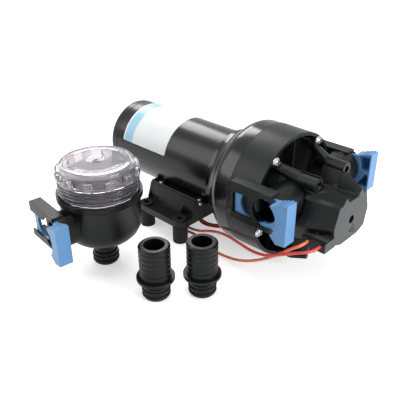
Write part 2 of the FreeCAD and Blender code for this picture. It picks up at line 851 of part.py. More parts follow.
def rear_housing():
    """The bell that joins the motor to the pump head."""
    neck_rear_x = plate_front_x - S.neck_reach
    flare_x = neck_rear_x + S.neck_flat
    flare_end_x = seam_x - S.head_flat
    half_run = (flare_end_x - flare_x) / 2
    half_rise = (S.head_radius - S.neck_radius) / 2
    sweep = (half_run * half_run + half_rise * half_rise) / (half_rise * 2)
    swing = math.degrees(math.asin(plain(half_run / sweep)))
    seat_x = seam_x - S.diaphragm_thickness
    seat_r = plate_radius + S.seat_gap
    collar = S.motor_radius + S.seat_gap
    bell = turned_piece([
        (neck_rear_x, collar),
        (neck_rear_x, S.neck_radius),
        *rounded(flare_x, S.neck_radius + sweep, sweep, -90, swing - 90, 2),
        *rounded(flare_end_x, S.head_radius - sweep, sweep, swing + 90, 90, 2)[1:],
        (seam_x, S.head_radius),
        (seam_x, seat_r),
        (seat_x, seat_r),
        (seat_x, S.head_radius - S.lip_inset),
        (seam_x - S.lip_start, S.head_radius - S.lip_inset),
        (web_front_x, S.neck_radius - S.throat_wall),
        (web_front_x, S.web_bore),
        (plate_front_x, S.web_bore),
        (plate_front_x, collar),
    ], AXIS)
    tools = []
    depth = S.screw_grip - S.head_depth + 1
    for angle, y, z in around(5, cover_screw_circle, 54.0):
        tools.append(rod(S.screw_radius + S.hole_gap, depth,
                         (seam_x - depth, y, S.axis_height + z)))
    for side in (-1, 1):
        tools.append(rod(S.bolt_radius + S.hole_gap, S.web_thickness * 2,
                         (plate_front_x - 1, side * S.fixing_circle, S.axis_height)))
    tools.append(rod(S.grommet_radius + S.hole_gap, S.neck_radius,
                     (grommet_x, 0.0, S.axis_height - S.neck_radius * 1.5), "Z"))
    piece("rear_housing", cut(bell, *tools))


def drive():
    """Eccentric hub, cam bearing, wobble plate and its five pistons."""
    centre = (nutation_x, 0.0, S.axis_height)
    hub = rod(S.hub_radius, S.hub_length, (hub_rear_x, 0.0, S.axis_height))
    journal_length = nutation_x - hub_rear_x - S.hub_length / 2 + S.journal_reach
    journal = leaning(turned_piece([
        (S.journal_reach - journal_length, 0.0),
        (S.journal_reach - journal_length, S.journal_radius),
        (S.journal_reach, S.journal_radius),
        (S.journal_reach, 0.0),
    ], centre, "X", LEAN))
    bore = rod(S.shaft_radius + S.run_gap, nutation_x - hub_rear_x - S.shaft_front_gap + S.run_gap,
               (hub_rear_x, 0.0, S.axis_height))
    piece("eccentric_hub", cut(joined(hub, journal), bore))

    half = S.cam_bearing_width / 2
    piece("cam_bearing", leaning(ring(S.journal_radius + S.run_gap, S.cam_bearing_radius,
                                      -half, half, centre, "X", LEAN)))

    parts = [ring(S.cam_bearing_radius + S.run_gap, S.wobble_hub_radius,
                  -half, S.wobble_front, ZERO3)]
    tools, caps, screws = [], [], []
    plate_rear = S.wobble_front - S.wobble_plate
    cap_rear = S.piston_neck_end
    cap_front = S.piston_neck_end + S.piston_thickness
    for angle, y, z in around(5, S.piston_circle, 90.0):
        arm = block((plate_rear, S.wobble_front), (ZERO, S.piston_circle),
                    (-S.arm_width / 2, S.arm_width / 2))
        parts.append(spun_block(arm, plate_rear, -S.arm_width / 2, angle))
        parts.append(rod(S.pad_radius, S.wobble_plate, (plate_rear, y, z)))
        parts.append(rod(S.piston_neck_radius, S.piston_neck_end - plate_rear, (plate_rear, y, z)))
        tools.append(rod(S.piston_screw_radius + S.hole_gap, S.piston_screw_length,
                         (cap_rear - S.piston_screw_length + 1, y, z)))
        disc = rod(S.piston_radius, S.piston_thickness, (cap_rear, y, z))
        caps.append(cut(disc, rod(S.piston_screw_radius + S.hole_gap, S.piston_thickness * 2,
                                  (cap_rear - 1, y, z))))
        screws.append(bolt((cap_front - S.piston_screw_length, y, z), "X", S.piston_screw_radius,
                           S.piston_screw_length, S.piston_screw_head, S.piston_screw_height,
                           (cap_front, y, z)))
    tools.append(rod(S.cam_bearing_radius + S.run_gap, S.cam_bearing_width * 4,
                     (-S.cam_bearing_width * 2, 0.0, 0.0)))
    for label, thing in (("wobble_plate", cut(joined(*parts), *tools)),
                         ("piston_caps", grouped(caps)),
                         ("piston_screws", grouped(screws))):
        piece(label, leaning(put(thing, centre, LEAN)))


ZERO3 = (0.0, 0.0, 0.0)


def spun_block(thing, x, z, angle):
    """Turns a block about the X axis; it starts on that axis at the given station."""
    turn = math.radians(angle)
    place = Vector(plain(x), -plain(z) * math.sin(turn), plain(z) * math.cos(turn))
    thing.Placement = FreeCAD.Placement(place, Rotation(Vector(1, 0, 0), angle))
    thing.setExpression("Placement.Base.x", as_size(x).text)
    thing.setExpression("Placement.Base.y", (z * -math.sin(turn)).text)
    thing.setExpression("Placement.Base.z", (z * math.cos(turn)).text)
    return thing


def valve_gear():
    """Diaphragm, valve plate, valves and the seal to the front housing."""
    disc = rod(plate_radius, S.diaphragm_thickness,
               (seam_x - S.diaphragm_thickness, 0.0, S.axis_height))
    holes = [rod(S.diaphragm_hole, S.diaphragm_thickness * 2,
                 (seam_x - S.diaphragm_thickness * 1.5, y, S.axis_height + z))
             for angle, y, z in around(5, S.piston_circle, 90.0)]
    piece("diaphragm", cut(disc, *holes))

    plate = rod(plate_radius, S.valve_plate_thickness, (seam_x, 0.0, S.axis_height))
    plate_front = seam_x + S.valve_plate_thickness
    tools, stems = [], []
    for angle, y, z in around(5, S.piston_circle, 90.0):
        tools.append(rod(S.chamber_radius, S.chamber_depth + 1, (seam_x - 1, y, S.axis_height + z)))
    for angle, y, z in around(5, S.valve_hole_circle, 90.0):
        at = (seam_x, y, S.axis_height + z)
        tools.append(rod(S.valve_hole_radius, S.valve_plate_thickness + 1, at))
        stem = rod(S.valve_stem_radius, S.valve_plate_thickness - S.chamber_depth + S.valve_disc,
                   (seam_x + S.chamber_depth - S.valve_disc, y, S.axis_height + z))
        flap = rod(S.inlet_valve_radius, S.valve_disc,
                   (seam_x + S.chamber_depth - S.valve_disc, y, S.axis_height + z))
        stems.append(joined(stem, flap))
    tools.append(rod(S.valve_stem_radius + S.hole_gap, S.valve_plate_thickness,
                     (seam_x + S.chamber_depth, 0.0, S.axis_height)))
    piece("valve_plate", cut(plate, *tools))
    piece("inlet_valves", grouped(stems))
    dish = rod(S.outlet_valve_radius, S.outlet_valve_height, (plate_front, 0.0, S.axis_height))
    stem = rod(S.valve_stem_radius, S.valve_plate_thickness - S.chamber_depth,
               (seam_x + S.chamber_depth, 0.0, S.axis_height))
    piece("outlet_valve", joined(dish, stem))
    outer = plate_radius - S.seal_inset
    piece("valve_plate_seal", ring(outer - S.seal_width, outer, plate_front, floor_rear_x, AXIS))


def star_corners(station):
    """The star section of the switch boss at its root, waist or face, clockwise."""
    right = [(getattr(S, f"{station}_{name}_y"), getattr(S, f"{station}_{name}_z"))
             for name in ("valley", "peak", "ledge", "shoulder", "flank", "hip", "sole")]
    left = [(-across, up) for across, up in reversed(right)]
    return right + left


def star_loft():
    """The tapering switch boss from its root to its end face."""
    body = new_body(AXIS)
    root = outline(body, "YZ_Plane", star_corners("root"), boss_root_x)
    waist = outline(body, "YZ_Plane", star_corners("waist"), boss_waist_x)
    face = outline(body, "YZ_Plane", star_corners("face"), boss_face_x)
    feature = body.newObject("PartDesign::AdditiveLoft", "Tapered")
    feature.Profile = root
    feature.Sections = [waist, face]
    feature.Ruled = True
    return body


def port_frame(side, port, face, closed_end):
    """The channel that holds a port's clip.

    side is -1 for a port that looks to -Y and 1 for +Y. port is (x, z) of the port axis and
    face is the distance of the channel's open face. Returns what to add and what to cut."""
    port_x, port_z = port
    slot_out = face - S.front_wall
    slot_in = slot_out - S.clip_thickness - S.clip_gap * 2
    inner = face - S.frame_depth

    def span(near, far):
        return sorted((side * near, side * far), key=plain)

    frame_xs = (port_x - S.frame_rear, port_x + S.frame_front)
    frame_zs = (port_z - S.frame_half_height, port_z + S.frame_half_height)
    adds = [block(frame_xs, span(inner, face), frame_zs)]
    slot_start = frame_xs[0] + S.frame_end_wall if closed_end else frame_xs[0] - 1
    slot_zs = (port_z - S.slot_half_height, port_z + S.slot_half_height)
    window_zs = (port_z + S.window_bottom, port_z + S.window_top)
    beyond = port_x + S.port_tube_radius + 1
    cuts = [
        block((slot_start, beyond), span(slot_in, slot_out), slot_zs),
        block((slot_start, port_x), span(slot_in, face + 1), window_zs),
    ]
    start = slot_in if side > 0 else -(face + 1)
    cuts.append(rod(S.collar_recess_radius, face + 1 - slot_in, (port_x, start, port_z), "Y"))
    bore_start = slot_in - S.port_bore_depth if side > 0 else -face
    cuts.append(rod(S.port_bore_radius, face - slot_in + S.port_bore_depth,
                    (port_x, bore_start, port_z), "Y"))
    if not closed_end:
        cuts.append(block((slot_start, port_x - S.port_tube_radius), span(inner - 1, face + 1),
                          window_zs))
    return adds, cuts, slot_in


def front_housing():
    """The moulded head: drum, screw tunnels, ribs, switch boss, ports and clip channels."""
    drum = turned_piece([
        (seam_x, plate_radius + S.seat_gap),
        (seam_x, S.head_radius),
        (rim_x, rim_radius),
        (rim_x, rim_radius - S.rim_wall),
        (floor_front_x, rim_radius - S.rim_wall),
        (floor_front_x, 0.0),
        (floor_rear_x, 0.0),
        (floor_rear_x, plate_radius + S.seat_gap),
    ], AXIS)
    adds, cuts = [drum], []
    for angle, y, z in around(5, cover_screw_circle, 54.0):
        adds.append(rod(S.tunnel_radius, rim_x - floor_front_x,
                        (floor_front_x, y, S.axis_height + z)))
        cuts.append(rod(S.screw_radius + S.hole_gap, S.head_depth + 2,
                        (seam_x - 1, y, S.axis_height + z)))
        cuts.append(rod(S.screw_head_radius + S.hole_gap * 2, S.head_depth,
                        (rim_x, y, S.axis_height + z)))
    for angle in (18.0, 54.0, 90.0, 126.0, 162.0, 198.0, 234.0, 270.0, 306.0, 342.0):
        rib = block((ZERO, S.rib_height), (ZERO, rim_radius - S.rim_wall / 2),
                    (-S.rib_thickness / 2, S.rib_thickness / 2))
        turn = math.radians(angle)
        rib.Placement = FreeCAD.Placement(Vector(0, 0, 0), Rotation(Vector(1, 0, 0), angle))
        rib.setExpression("Placement.Base.x", floor_front_x.text)
        rib.setExpression("Placement.Base.y", (S.rib_thickness / 2 * math.sin(turn)).text)
        rib.setExpression("Placement.Base.z",
                          (S.axis_height - S.rib_thickness / 2 * math.cos(turn)).text)
        adds.append(rib)
    adds.append(extruded(star_corners("root"), "YZ_Plane", boss_root_x - floor_front_x,
                         (floor_front_x, 0.0, S.axis_height)))
    root_half = block((boss_root_x - 1, cover_rear_x), (-S.head_radius, S.head_radius),
                      (S.axis_height - S.head_radius, S.axis_height + S.head_radius))
    adds.append(shared(star_loft(), root_half))
    port = (pump_port_x, S.axis_height + S.port_z)
    for side in (-1, 1):
        frame_adds, frame_cuts, slot_in = port_frame(side, port, S.port_face, True)
        shell = rod(rim_radius - S.rim_wall / 2, S.head_depth, (seam_x, 0.0, S.axis_height))
        adds.append(cut(frame_adds[0], shell))
        start = S.port_tube_start if side > 0 else -slot_in
        adds.append(rod(S.port_tube_radius, slot_in - S.port_tube_start,
                        (port[0], start, port[1]), "Y"))
        start = S.passage_inner_y if side > 0 else -slot_in
        cuts.append(rod(S.passage_radius, slot_in - S.passage_inner_y,
                        (port[0], start, port[1]), "Y"))
        cuts.append(rod(S.gallery_radius, pump_port_x - floor_rear_x + 1,
                        (floor_rear_x - 1, side * S.gallery_y, port[1])))
        cuts.extend(frame_cuts)
        adds.append(tapered(
            (S.ridge_root_radius, (rim_x - S.ridge_root_depth, side * S.ridge_root_y,
                                   S.axis_height + S.ridge_root_z)),
            (S.ridge_radius, (cover_rear_x, side * S.ridge_y, S.axis_height + S.ridge_z))))
        adds.append(rod(S.ridge_radius - 1, cover_rear_x - cover_tip_x + 2,
                        (cover_tip_x - 2, side * S.ridge_y, S.axis_height + S.ridge_z)))
        cuts.append(rod(S.screw_radius + S.hole_gap, cover_rear_x - cover_tip_x + 1,
                        (cover_tip_x, side * S.ridge_y, S.axis_height + S.ridge_z)))
    cuts.append(rod(S.pressure_hole_radius, cover_rear_x - floor_rear_x + 2,
                    (floor_rear_x - 1, 0.0, S.axis_height + S.switch_z)))
    piece("front_housing", cut(joined(*adds), *cuts))


def cover_screw(x, y, z):
    """A pan-head screw with a domed head and a cross recess, its head looking to +X."""
    rise = S.screw_head_height / 3
    dome_flat = S.screw_head_radius * 0.55
    body = turned_piece([
        (x - S.screw_grip, 0.0),
        (x - S.screw_grip, S.screw_radius),
        (x, S.screw_radius),
        (x, S.screw_head_radius),
        (x + rise, S.screw_head_radius),
        (x + S.screw_head_height, dome_flat),
        (x + S.screw_head_height, 0.0),
    ], (0.0, y, z))
    half_long = S.cross_length / 2
    half_wide = S.cross_width / 2
    xs = (x + S.screw_head_height - S.cross_depth, x + S.screw_head_height + 1)
    return cut(body,
               block(xs, (y - half_long, y + half_long), (z - half_wide, z + half_wide)),
               block(xs, (y - half_wide, y + half_wide), (z - half_long, z + half_long)))


def head_fixings():
    """The five screws that hold the pump head together and the two of the switch cover."""
    screws = [cover_screw(rim_x, y, S.axis_height + z)
              for angle, y, z in around(5, cover_screw_circle, 54.0)]
    piece("cover_screws", grouped(screws))
    small = []
    for side in (-1, 1):
        y, z = side * S.ridge_y, S.axis_height + S.ridge_z
        small.append(bolt((cover_tip_x + S.hole_gap, y, z), "X", S.screw_radius,
                          access_rear_x - cover_tip_x - S.hole_gap,
                          S.access_radius - S.hole_gap, S.cover_head_height,
                          (access_rear_x, y, z)))
    piece("switch_cover_screws", grouped(small))


def switch_cover():
    """The tapering cover of the pressure switch, with its wire duct."""
    front = block((cover_rear_x, boss_face_x + 1), (-S.head_radius, S.head_radius),
                  (S.axis_height - S.head_radius, S.axis_height + S.head_radius))
    star = shared(star_loft(), front)
    duct = block((duct_rear_x, boss_face_x), (-S.duct_outer_y, -S.duct_inner_y),
                 (S.axis_height + S.duct_bottom_z, S.axis_height + S.duct_top_z))
    adds, cuts = [star, duct], []
    for side in (-1, 1):
        y, z = side * S.ridge_y, S.axis_height + S.ridge_z
        adds.append(rod(S.ridge_radius, boss_waist_x - cover_rear_x, (cover_rear_x, y, z)))
        cuts.append(rod(S.scoop_radius, boss_face_x - boss_waist_x, (boss_waist_x, y, z)))
        cuts.append(rod(S.access_radius, boss_waist_x - access_rear_x + 1,
                        (access_rear_x, y, z)))
        cuts.append(rod(S.screw_radius + S.hole_gap, access_rear_x - cover_rear_x + 2,
                        (cover_rear_x - 1, y, z)))
        start = S.port_tube_start if side > 0 else -S.port_face
        cuts.append(rod(S.port_tube_radius + S.clip_gap, S.port_face - S.port_tube_start,
                        (pump_port_x, start, S.axis_height + S.port_z), "Y"))
    cuts.append(block((cover_rear_x - 1, cover_rear_x + S.cavity_depth),
                      (-S.cavity_half_width, S.cavity_half_width),
                      (S.axis_height + S.cavity_bottom, S.axis_height + S.cavity_top)))
    cuts.append(rod(S.adjuster_hole_radius, boss_face_x - cover_rear_x,
                    (cover_rear_x + 1, 0.0, S.axis_height + S.switch_z)))
    cuts.append(rod(S.vent_radius, S.vent_depth + 1,
                    (boss_face_x - S.vent_depth, 0.0, S.axis_height + S.vent_z)))
    piece("switch_cover", cut(joined(*adds), *cuts))


def pressure_switch():
    """Switch diaphragm, plunger, spring, spring seat, adjusting screw and micro switch."""
    centre = (0.0, 0.0, S.axis_height + S.switch_z)
    seal_front = cover_rear_x + S.switch_seal_thickness
    piece("switch_diaphragm", rod(S.switch_seal_radius, S.switch_seal_thickness,
                                  (cover_rear_x, 0.0, S.axis_height + S.switch_z)))
    plunger_x = seal_front + S.seat_gap
    plunger_front = plunger_x + S.plunger_thickness
    pin_front = plunger_front + S.spring_length / 2
    piece("switch_plunger", turned_piece([
        (plunger_x, 0.0),
        (plunger_x, S.plunger_radius),
        (plunger_front, S.plunger_radius),
        (plunger_front, S.plunger_pin_radius),
        (pin_front, S.plunger_pin_radius),
        (pin_front, 0.0),
    ], centre))
    spring_end = plunger_front + S.spring_length
    piece("switch_spring", ring(S.spring_radius - S.spring_wire, S.spring_radius,
                                plunger_front + S.seat_gap, spring_end - S.seat_gap, centre))
    seat_end = spring_end + S.seat_thickness
    piece("spring_seat", ring(S.adjuster_radius + S.run_gap, S.seat_radius, spring_end, seat_end,
                              centre))
    head_x = boss_face_x - S.adjuster_recess - S.adjuster_head_length
    screw = turned_piece([
        (spring_end - S.adjuster_lead, 0.0),
        (spring_end - S.adjuster_lead, S.adjuster_radius),
        (head_x, S.adjuster_radius),
        (head_x, S.adjuster_head_radius),
        (head_x + S.adjuster_head_length, S.adjuster_head_radius),
        (head_x + S.adjuster_head_length, 0.0),
    ], centre)
    half_wide = S.cross_width / 2
    slot = block((head_x + S.adjuster_head_length - S.cross_depth, boss_face_x),
                 (-S.adjuster_head_radius, S.adjuster_head_radius),
                 (S.axis_height + S.switch_z - half_wide, S.axis_height + S.switch_z + half_wide))
    piece("adjusting_screw", cut(screw, slot))
    floor = S.axis_height + S.cavity_bottom
    piece("micro_switch", block((micro_rear_x, micro_rear_x + S.micro_length),
                                (-S.micro_width / 2, S.micro_width / 2),
                                (floor, floor + S.micro_height)))


def port_clip(side, port, face):
    """A sliding clip: keyhole plate, serrated handle and two pockets behind it."""
    port_x, port_z = port
    plate_out = face - S.front_wall - S.clip_gap
    plate_in = plate_out - S.clip_thickness
    handle_out = plate_out + S.handle_reach

    def span(near, far):
        return sorted((side * near, side * far), key=plain)

    def upright(corners, near, far):
        low, high = span(near, far)
        return extruded(corners, "XZ_Plane", high - low, (port_x, low, port_z))

    corner = S.clip_corner
    half = S.clip_half_height
    plate = upright([
        (corner - S.clip_rear, half),
        (-S.clip_rear, half - corner, corner, 1),
        (-S.clip_rear, corner - half),
        (corner - S.clip_rear, -half, corner, 1),
        (S.handle_outer_x - 1, -half),
        (S.handle_outer_x - 1, half),
    ], plate_in, plate_out)
    top = [(S.handle_inner_x, half)]
    low = half + (S.handle_top - half) * 0.25
    pitch = S.serration_pitch
    first = S.handle_outer_x - pitch * 3.6
    for index in range(3):
        across = first + pitch * index
        crest = low + (S.handle_top - low) * ((index + 1) / 3.0)
        top.append((across, crest - S.serration_rise))
        top.append((across + pitch * 0.6, crest))
        top.append((across + pitch, crest - S.serration_rise * 0.6))
    handle = upright([
        (S.handle_inner_x, S.window_bottom),
        *top,
        (S.handle_outer_x, S.handle_top),
        (S.handle_outer_x, S.handle_bottom),
        (S.handle_chin_x, S.handle_bottom - S.serration_rise * 0.8),
    ], plate_in, handle_out)
    wall = S.clip_thickness / 2
    inner = S.handle_inner_x + S.clip_thickness * 1.6
    outer = S.handle_outer_x - wall
    upper = upright([
        (inner, half),
        (outer, half + wall),
        (outer, wall),
        (inner + wall * 2.4, wall),
    ], plate_in - 1, plate_in + S.pocket_depth)
    lower = upright([
        (outer - wall * 2, -wall),
        (outer, -wall * 2),
        (outer, -half),
        (inner, -half),
    ], plate_in - 1, plate_in + S.pocket_depth)
    start = plate_out if side > 0 else -(handle_out + 1)
    notch = rod(S.handle_notch_radius, handle_out + 1 - plate_out, (port_x, start, port_z), "Y")
    start = plate_in - 1 if side > 0 else -(plate_out + 1)
    through = S.clip_thickness + 2
    lock = rod(S.clip_lock_radius, through, (port_x, start, port_z), "Y")
    passing = rod(S.clip_pass_radius, through, (port_x - S.clip_travel, start, port_z), "Y")
    return cut(joined(plate, handle), notch, lock, passing, upper, lower)


def clips():
    """The two clips of the pump's ports."""
    port = (pump_port_x, S.axis_height + S.port_z)
    piece("near_port_clip", port_clip(-1, port, S.port_face))
    piece("far_port_clip", port_clip(1, port, S.port_face))


def base():
    """The saddle, the motor's two brackets, their screws and the four rubber feet."""
    top = S.base_bottom + S.base_plate
    radius = S.motor_radius + S.seat_gap
    corner = S.base_corner
    long, wide = S.base_half_length, S.base_half_width
    plate = extruded([
        (long, corner - wide),
        (long, wide - corner),
        (long - corner, wide, corner, 1),
        (corner - long, wide),
        (-long, wide - corner, corner, 1),
        (-long, corner - wide),
        (corner - long, -wide, corner, 1),
        (long - corner, -wide),
        (long, corner - wide, corner, 1),
    ][1:], "XY_Plane", S.base_plate, (0.0, 0.0, S.base_bottom))
    saddle = extruded([
        (S.slope_foot_y, S.base_bottom),
        (S.slope_foot_y, top),
        (S.slope_top_y, slope_top_z),
        (-S.slope_top_y, slope_top_z),
        (-S.slope_foot_y, top),
        (-S.slope_foot_y, S.base_bottom),
    ], "YZ_Plane", long * 2, (-long, 0.0, 0.0))
    cradle = rod(radius, long * 4, (-long * 2, 0.0, S.axis_height))
    pocket = block((S.base_wall - long, long - S.base_wall),
                   (-S.base_pocket_half_width, S.base_pocket_half_width),
                   (S.base_bottom - 1, S.base_bottom + S.base_pocket_height))
    tools = [cradle, pocket]
    feet, straps = [], []
    for x in (-S.foot_x, S.foot_x):
        for y in (-S.foot_y, S.foot_y):
            arch_y = S.arch_y if plain(y) > 0 else -S.arch_y
            tools.append(rod(S.arch_radius, slope_top_z - top, (x, arch_y, top), "Z"))
            tools.append(rod(S.foot_neck_radius + S.seat_gap, S.base_plate * 2,
                             (x, y, S.base_bottom - 1), "Z"))
            feet.append((x, y))
    hole = S.strap_screw_radius + S.hole_gap
    brackets = []
    for side in (-1, 1):
        ends = sorted((ZERO, side * (S.slope_top_y - S.bracket_inset)), key=plain)
        bracket = block((S.bracket_rear_x, bracket_front_x), ends, (slope_top_z, bracket_top_z))
        holes = []
        for x in (S.strap_screw_rear_x, strap_front_x):
            tip = (x, side * S.strap_screw_y, bracket_top_z - S.strap_screw_length)
            head = (x, side * S.strap_screw_y, bracket_top_z)
            straps.append(bolt(tip, "Z", S.strap_screw_radius, S.strap_screw_length,
                               S.strap_head_radius, S.strap_head_height, head))
            holes.append(rod(hole, S.strap_screw_length + 1, tip, "Z"))
            tools.append(rod(hole, S.strap_screw_length + 1, tip, "Z"))
        seat = rod(radius, long * 4, (-long * 2, 0.0, S.axis_height))
        brackets.append(cut(bracket, seat, *holes))
    piece("motor_brackets", grouped(brackets))
    piece("base_saddle", cut(joined(plate, saddle), *tools))
    piece("base_strap_screws", grouped(straps))
    piece("rubber_feet", grouped([
        turned_piece([
            (S.mount_hole_radius, ZERO),
            (S.foot_radius, ZERO),
            (S.foot_radius, S.base_bottom),
            (S.foot_neck_radius, S.base_bottom),
            (S.foot_neck_radius, top),
            (S.foot_cap_radius, top),
            (S.foot_cap_radius, top + S.foot_cap_height),
            (S.mount_hole_radius, top + S.foot_cap_height),
        ], (x, y, 0.0), "Z") for x, y in feet]))


def grommet():
    """The rubber grommet in the neck through which both leads enter."""
    low = S.axis_height - S.neck_radius - S.grommet_drop
    top = S.axis_height - S.motor_radius - S.wire_gap
    piece("lead_grommet", rod(S.grommet_radius, top - low, (grommet_x, 0.0, low), "Z"))


def plug_corners(bore):
    """The outside of a plug from its tip up to its neck, as (radius, height)."""
    first = S.plug_tip
    second = S.plug_tip + S.ring_width + S.plug_land
    return [
        (bore, ZERO),
        (S.plug_radius - S.plug_chamfer, ZERO),
        (S.plug_radius, S.plug_chamfer),
        (S.plug_radius, first),
        (S.plug_groove_radius, first),
        (S.plug_groove_radius, first + S.ring_width),
        (S.plug_radius, first + S.ring_width),
        (S.plug_radius, second),
        (S.plug_groove_radius, second),
        (S.plug_groove_radius, second + S.ring_width),
        (S.plug_radius, second + S.ring_width),
        (S.plug_radius, S.plug_neck_start),
        (S.plug_neck_radius, S.plug_neck_start),
        (S.plug_neck_radius, S.collar_start),
    ]


def plug_rings(label, at, turn=UPRIGHT):
    """The two sealing rings of a plug."""
    rings = []
    for low in (S.plug_tip, S.plug_tip + S.ring_width + S.plug_land):
        inner = S.plug_groove_radius + S.seat_gap
        rings.append(ring(inner, S.ring_outer_radius, low + S.seat_gap,
                          low + S.ring_width - S.seat_gap, ZERO3, "Z"))
    piece(label, put(grouped(rings), at, turn))


def hose_tail(number, x, y):
    """A loose hose tail that stands on its plug."""
    corners = plug_corners(S.plug_bore_radius)
    collar_top = S.collar_start + S.collar_thickness
    corners += [
        (S.collar_radius, S.collar_start),
        (S.collar_radius, collar_top),
        (S.barb_valley_radius, collar_top),
    ]
    for index in range(6):
        low = collar_top + S.barb_pitch * index
        corners.append((S.barb_radius, low + S.barb_pitch * 0.35))
        corners.append((S.barb_valley_radius, low + S.barb_pitch))
    corners += [
        (S.barb_radius, S.tail_height - S.tail_top_chamfer),
        (S.barb_radius - S.tail_top_chamfer, S.tail_height),
        (S.plug_bore_radius, S.tail_height),
    ]
    piece(f"hose_tail_{number}", turned_piece(corners, (x, y, 0.0), "Z"))
    plug_rings(f"hose_tail_{number}_rings", (x, y, 0.0))


STRAINER_TURN = Rotation(Vector(0, 0, 1), plain(S.strainer_turn))


def at_strainer(thing):
    """Places a strainer piece, built round its own axis, on the floor beside the pump."""
    put(thing, (S.strainer_x, S.strainer_y, 0.0), STRAINER_TURN)
    thing.setExpression("Placement.Rotation.Angle", f"{S.strainer_turn.text} * 1 deg")
    return thing


def strainer():
    """Strainer bowl with its spigot and port, clear lid, screen, clip and seals."""
    inner = S.strainer_radius - S.strainer_wall
    seat = S.lid_seat_radius
    bowl_round = S.strainer_radius - S.strainer_bowl_radius
    corners = plug_corners(S.plug_bore_radius)
    flare = S.strainer_rim - S.strainer_rim_height
    corners += [
        (S.spigot_cone_radius, S.strainer_bottom),
        *rounded(S.strainer_bowl_radius, S.strainer_bottom + bowl_round, bowl_round, -90, 0, 5),
        (S.strainer_radius, flare - S.strainer_wall),
        (S.strainer_rim_radius, flare),
        (S.strainer_rim_radius, S.strainer_rim),
        (seat, S.strainer_rim),
        (seat, S.strainer_ledge),
        (inner, S.strainer_ledge),
        *rounded(S.strainer_bowl_radius, S.strainer_bottom + bowl_round,
                 bowl_round - S.strainer_wall, 0, -90, 5),
        (S.plug_bore_radius, S.strainer_bottom + S.strainer_wall),
    ]
    bowl = turned_piece(corners, ZERO3, "Z")
    port = (ZERO, S.strainer_port_height)
    adds, cuts, slot_in = port_frame(-1, port, S.strainer_port_face, False)
    tube_start = inner - S.strainer_wall * 2
    tube = rod(S.port_tube_radius, slot_in - tube_start, (ZERO, -slot_in, port[1]), "Y")
    hollow = rod(inner, S.strainer_ledge - S.strainer_bottom - bowl_round,
                 (0.0, 0.0, S.strainer_bottom + bowl_round), "Z")
    bowl_round_space = rod(S.strainer_bowl_radius, bowl_round,
                           (0.0, 0.0, S.strainer_bottom + S.strainer_wall), "Z")
    inlet = rod(S.port_bore_radius, slot_in, (ZERO, -slot_in, port[1]), "Y")
    body = cut(joined(bowl, tube, *adds), *cuts, inlet, hollow, bowl_round_space)
    piece("strainer_body", at_strainer(body))
    piece("strainer_clip", at_strainer(port_clip(-1, port, S.strainer_port_face)))
    plug_rings("strainer_spigot_rings", (S.strainer_x, S.strainer_y, 0.0))

    lid_inner = S.lid_skirt_radius - S.lid_wall
    plug = seat - S.clip_gap * 2
    rest = S.strainer_rim + S.run_gap
    outside = [
        (lid_inner, S.lid_skirt_bottom),
        (plug, S.lid_skirt_bottom),
        (plug, rest),
        (S.lid_skirt_radius, rest),
    ]
    for index in range(3):
        low = rest + 1 + S.lid_thread_pitch * index
        outside.append((S.lid_skirt_radius, low))
        outside.append((S.lid_thread_radius, low + S.lid_thread_pitch * 0.3))
        outside.append((S.lid_thread_radius, low + S.lid_thread_pitch * 0.5))
        outside.append((S.lid_skirt_radius, low + S.lid_thread_pitch * 0.8))
    outside += [
        (S.lid_skirt_radius, S.lid_flange_bottom),
        (S.lid_flange_radius - S.lid_lug_reach, S.lid_flange_bottom),
        (S.lid_flange_radius - S.lid_lug_reach, S.lid_flange_top),
        (S.lid_shoulder_radius + 1, S.lid_flange_top),
        (S.lid_shoulder_radius, S.lid_shoulder_z),
        (S.lid_disc_radius, S.lid_top),
        (S.lid_recess_radius, S.lid_top),
        (S.lid_recess_radius, S.lid_top - S.lid_recess),
        (S.lid_nub_radius, S.lid_top - S.lid_recess),
        (S.lid_nub_radius, S.lid_top - S.lid_recess / 4),
        (0.0, S.lid_top - S.lid_recess / 4),
        (0.0, S.lid_top - S.lid_recess - S.lid_wall),
        (S.lid_disc_radius, S.lid_top - S.lid_recess - S.lid_wall),
        (lid_inner - S.lid_wall, S.lid_shoulder_z - S.lid_wall),
        (lid_inner - S.lid_wall, S.lid_flange_bottom),
        (lid_inner, S.lid_flange_bottom - S.lid_wall),
    ]
    lid = turned_piece(outside, ZERO3, "Z")
    lugs = []
    for angle, x, y in around(12, S.lid_flange_radius, 15.0):
        lug = block((S.lid_shoulder_radius + 1.5, S.lid_flange_radius),
                    (-S.lid_lug_width / 2, S.lid_lug_width / 2),
                    (S.lid_flange_bottom, S.lid_flange_top))
        turn = math.radians(angle)
        low_x, low_y = S.lid_shoulder_radius + 1.5, -S.lid_lug_width / 2
        lug.Placement = FreeCAD.Placement(Vector(0, 0, 0), Rotation(Vector(0, 0, 1), angle))
        lug.setExpression("Placement.Base.x", (low_x * math.cos(turn) - low_y * math.sin(turn)).text)
        lug.setExpression("Placement.Base.y", (low_x * math.sin(turn) + low_y * math.cos(turn)).text)
        lug.setExpression("Placement.Base.z", S.lid_flange_bottom.text)
        lugs.append(lug)
    piece("strainer_lid", at_strainer(joined(lid, *lugs)))

    screen_rim = S.strainer_ledge + S.screen_rim_height
    cup = turned_piece([
        (0.0, S.screen_bottom),
        (S.screen_radius, S.screen_bottom),
        (S.screen_radius, S.strainer_ledge),
        (plug, S.strainer_ledge),
        (plug, screen_rim),
        (S.screen_radius - S.screen_wall, screen_rim),
        (S.screen_radius - S.screen_wall, S.screen_bottom + S.screen_wall),
        (0.0, S.screen_bottom + S.screen_wall),
    ], ZERO3, "Z")
    piece("strainer_screen", at_strainer(cup))


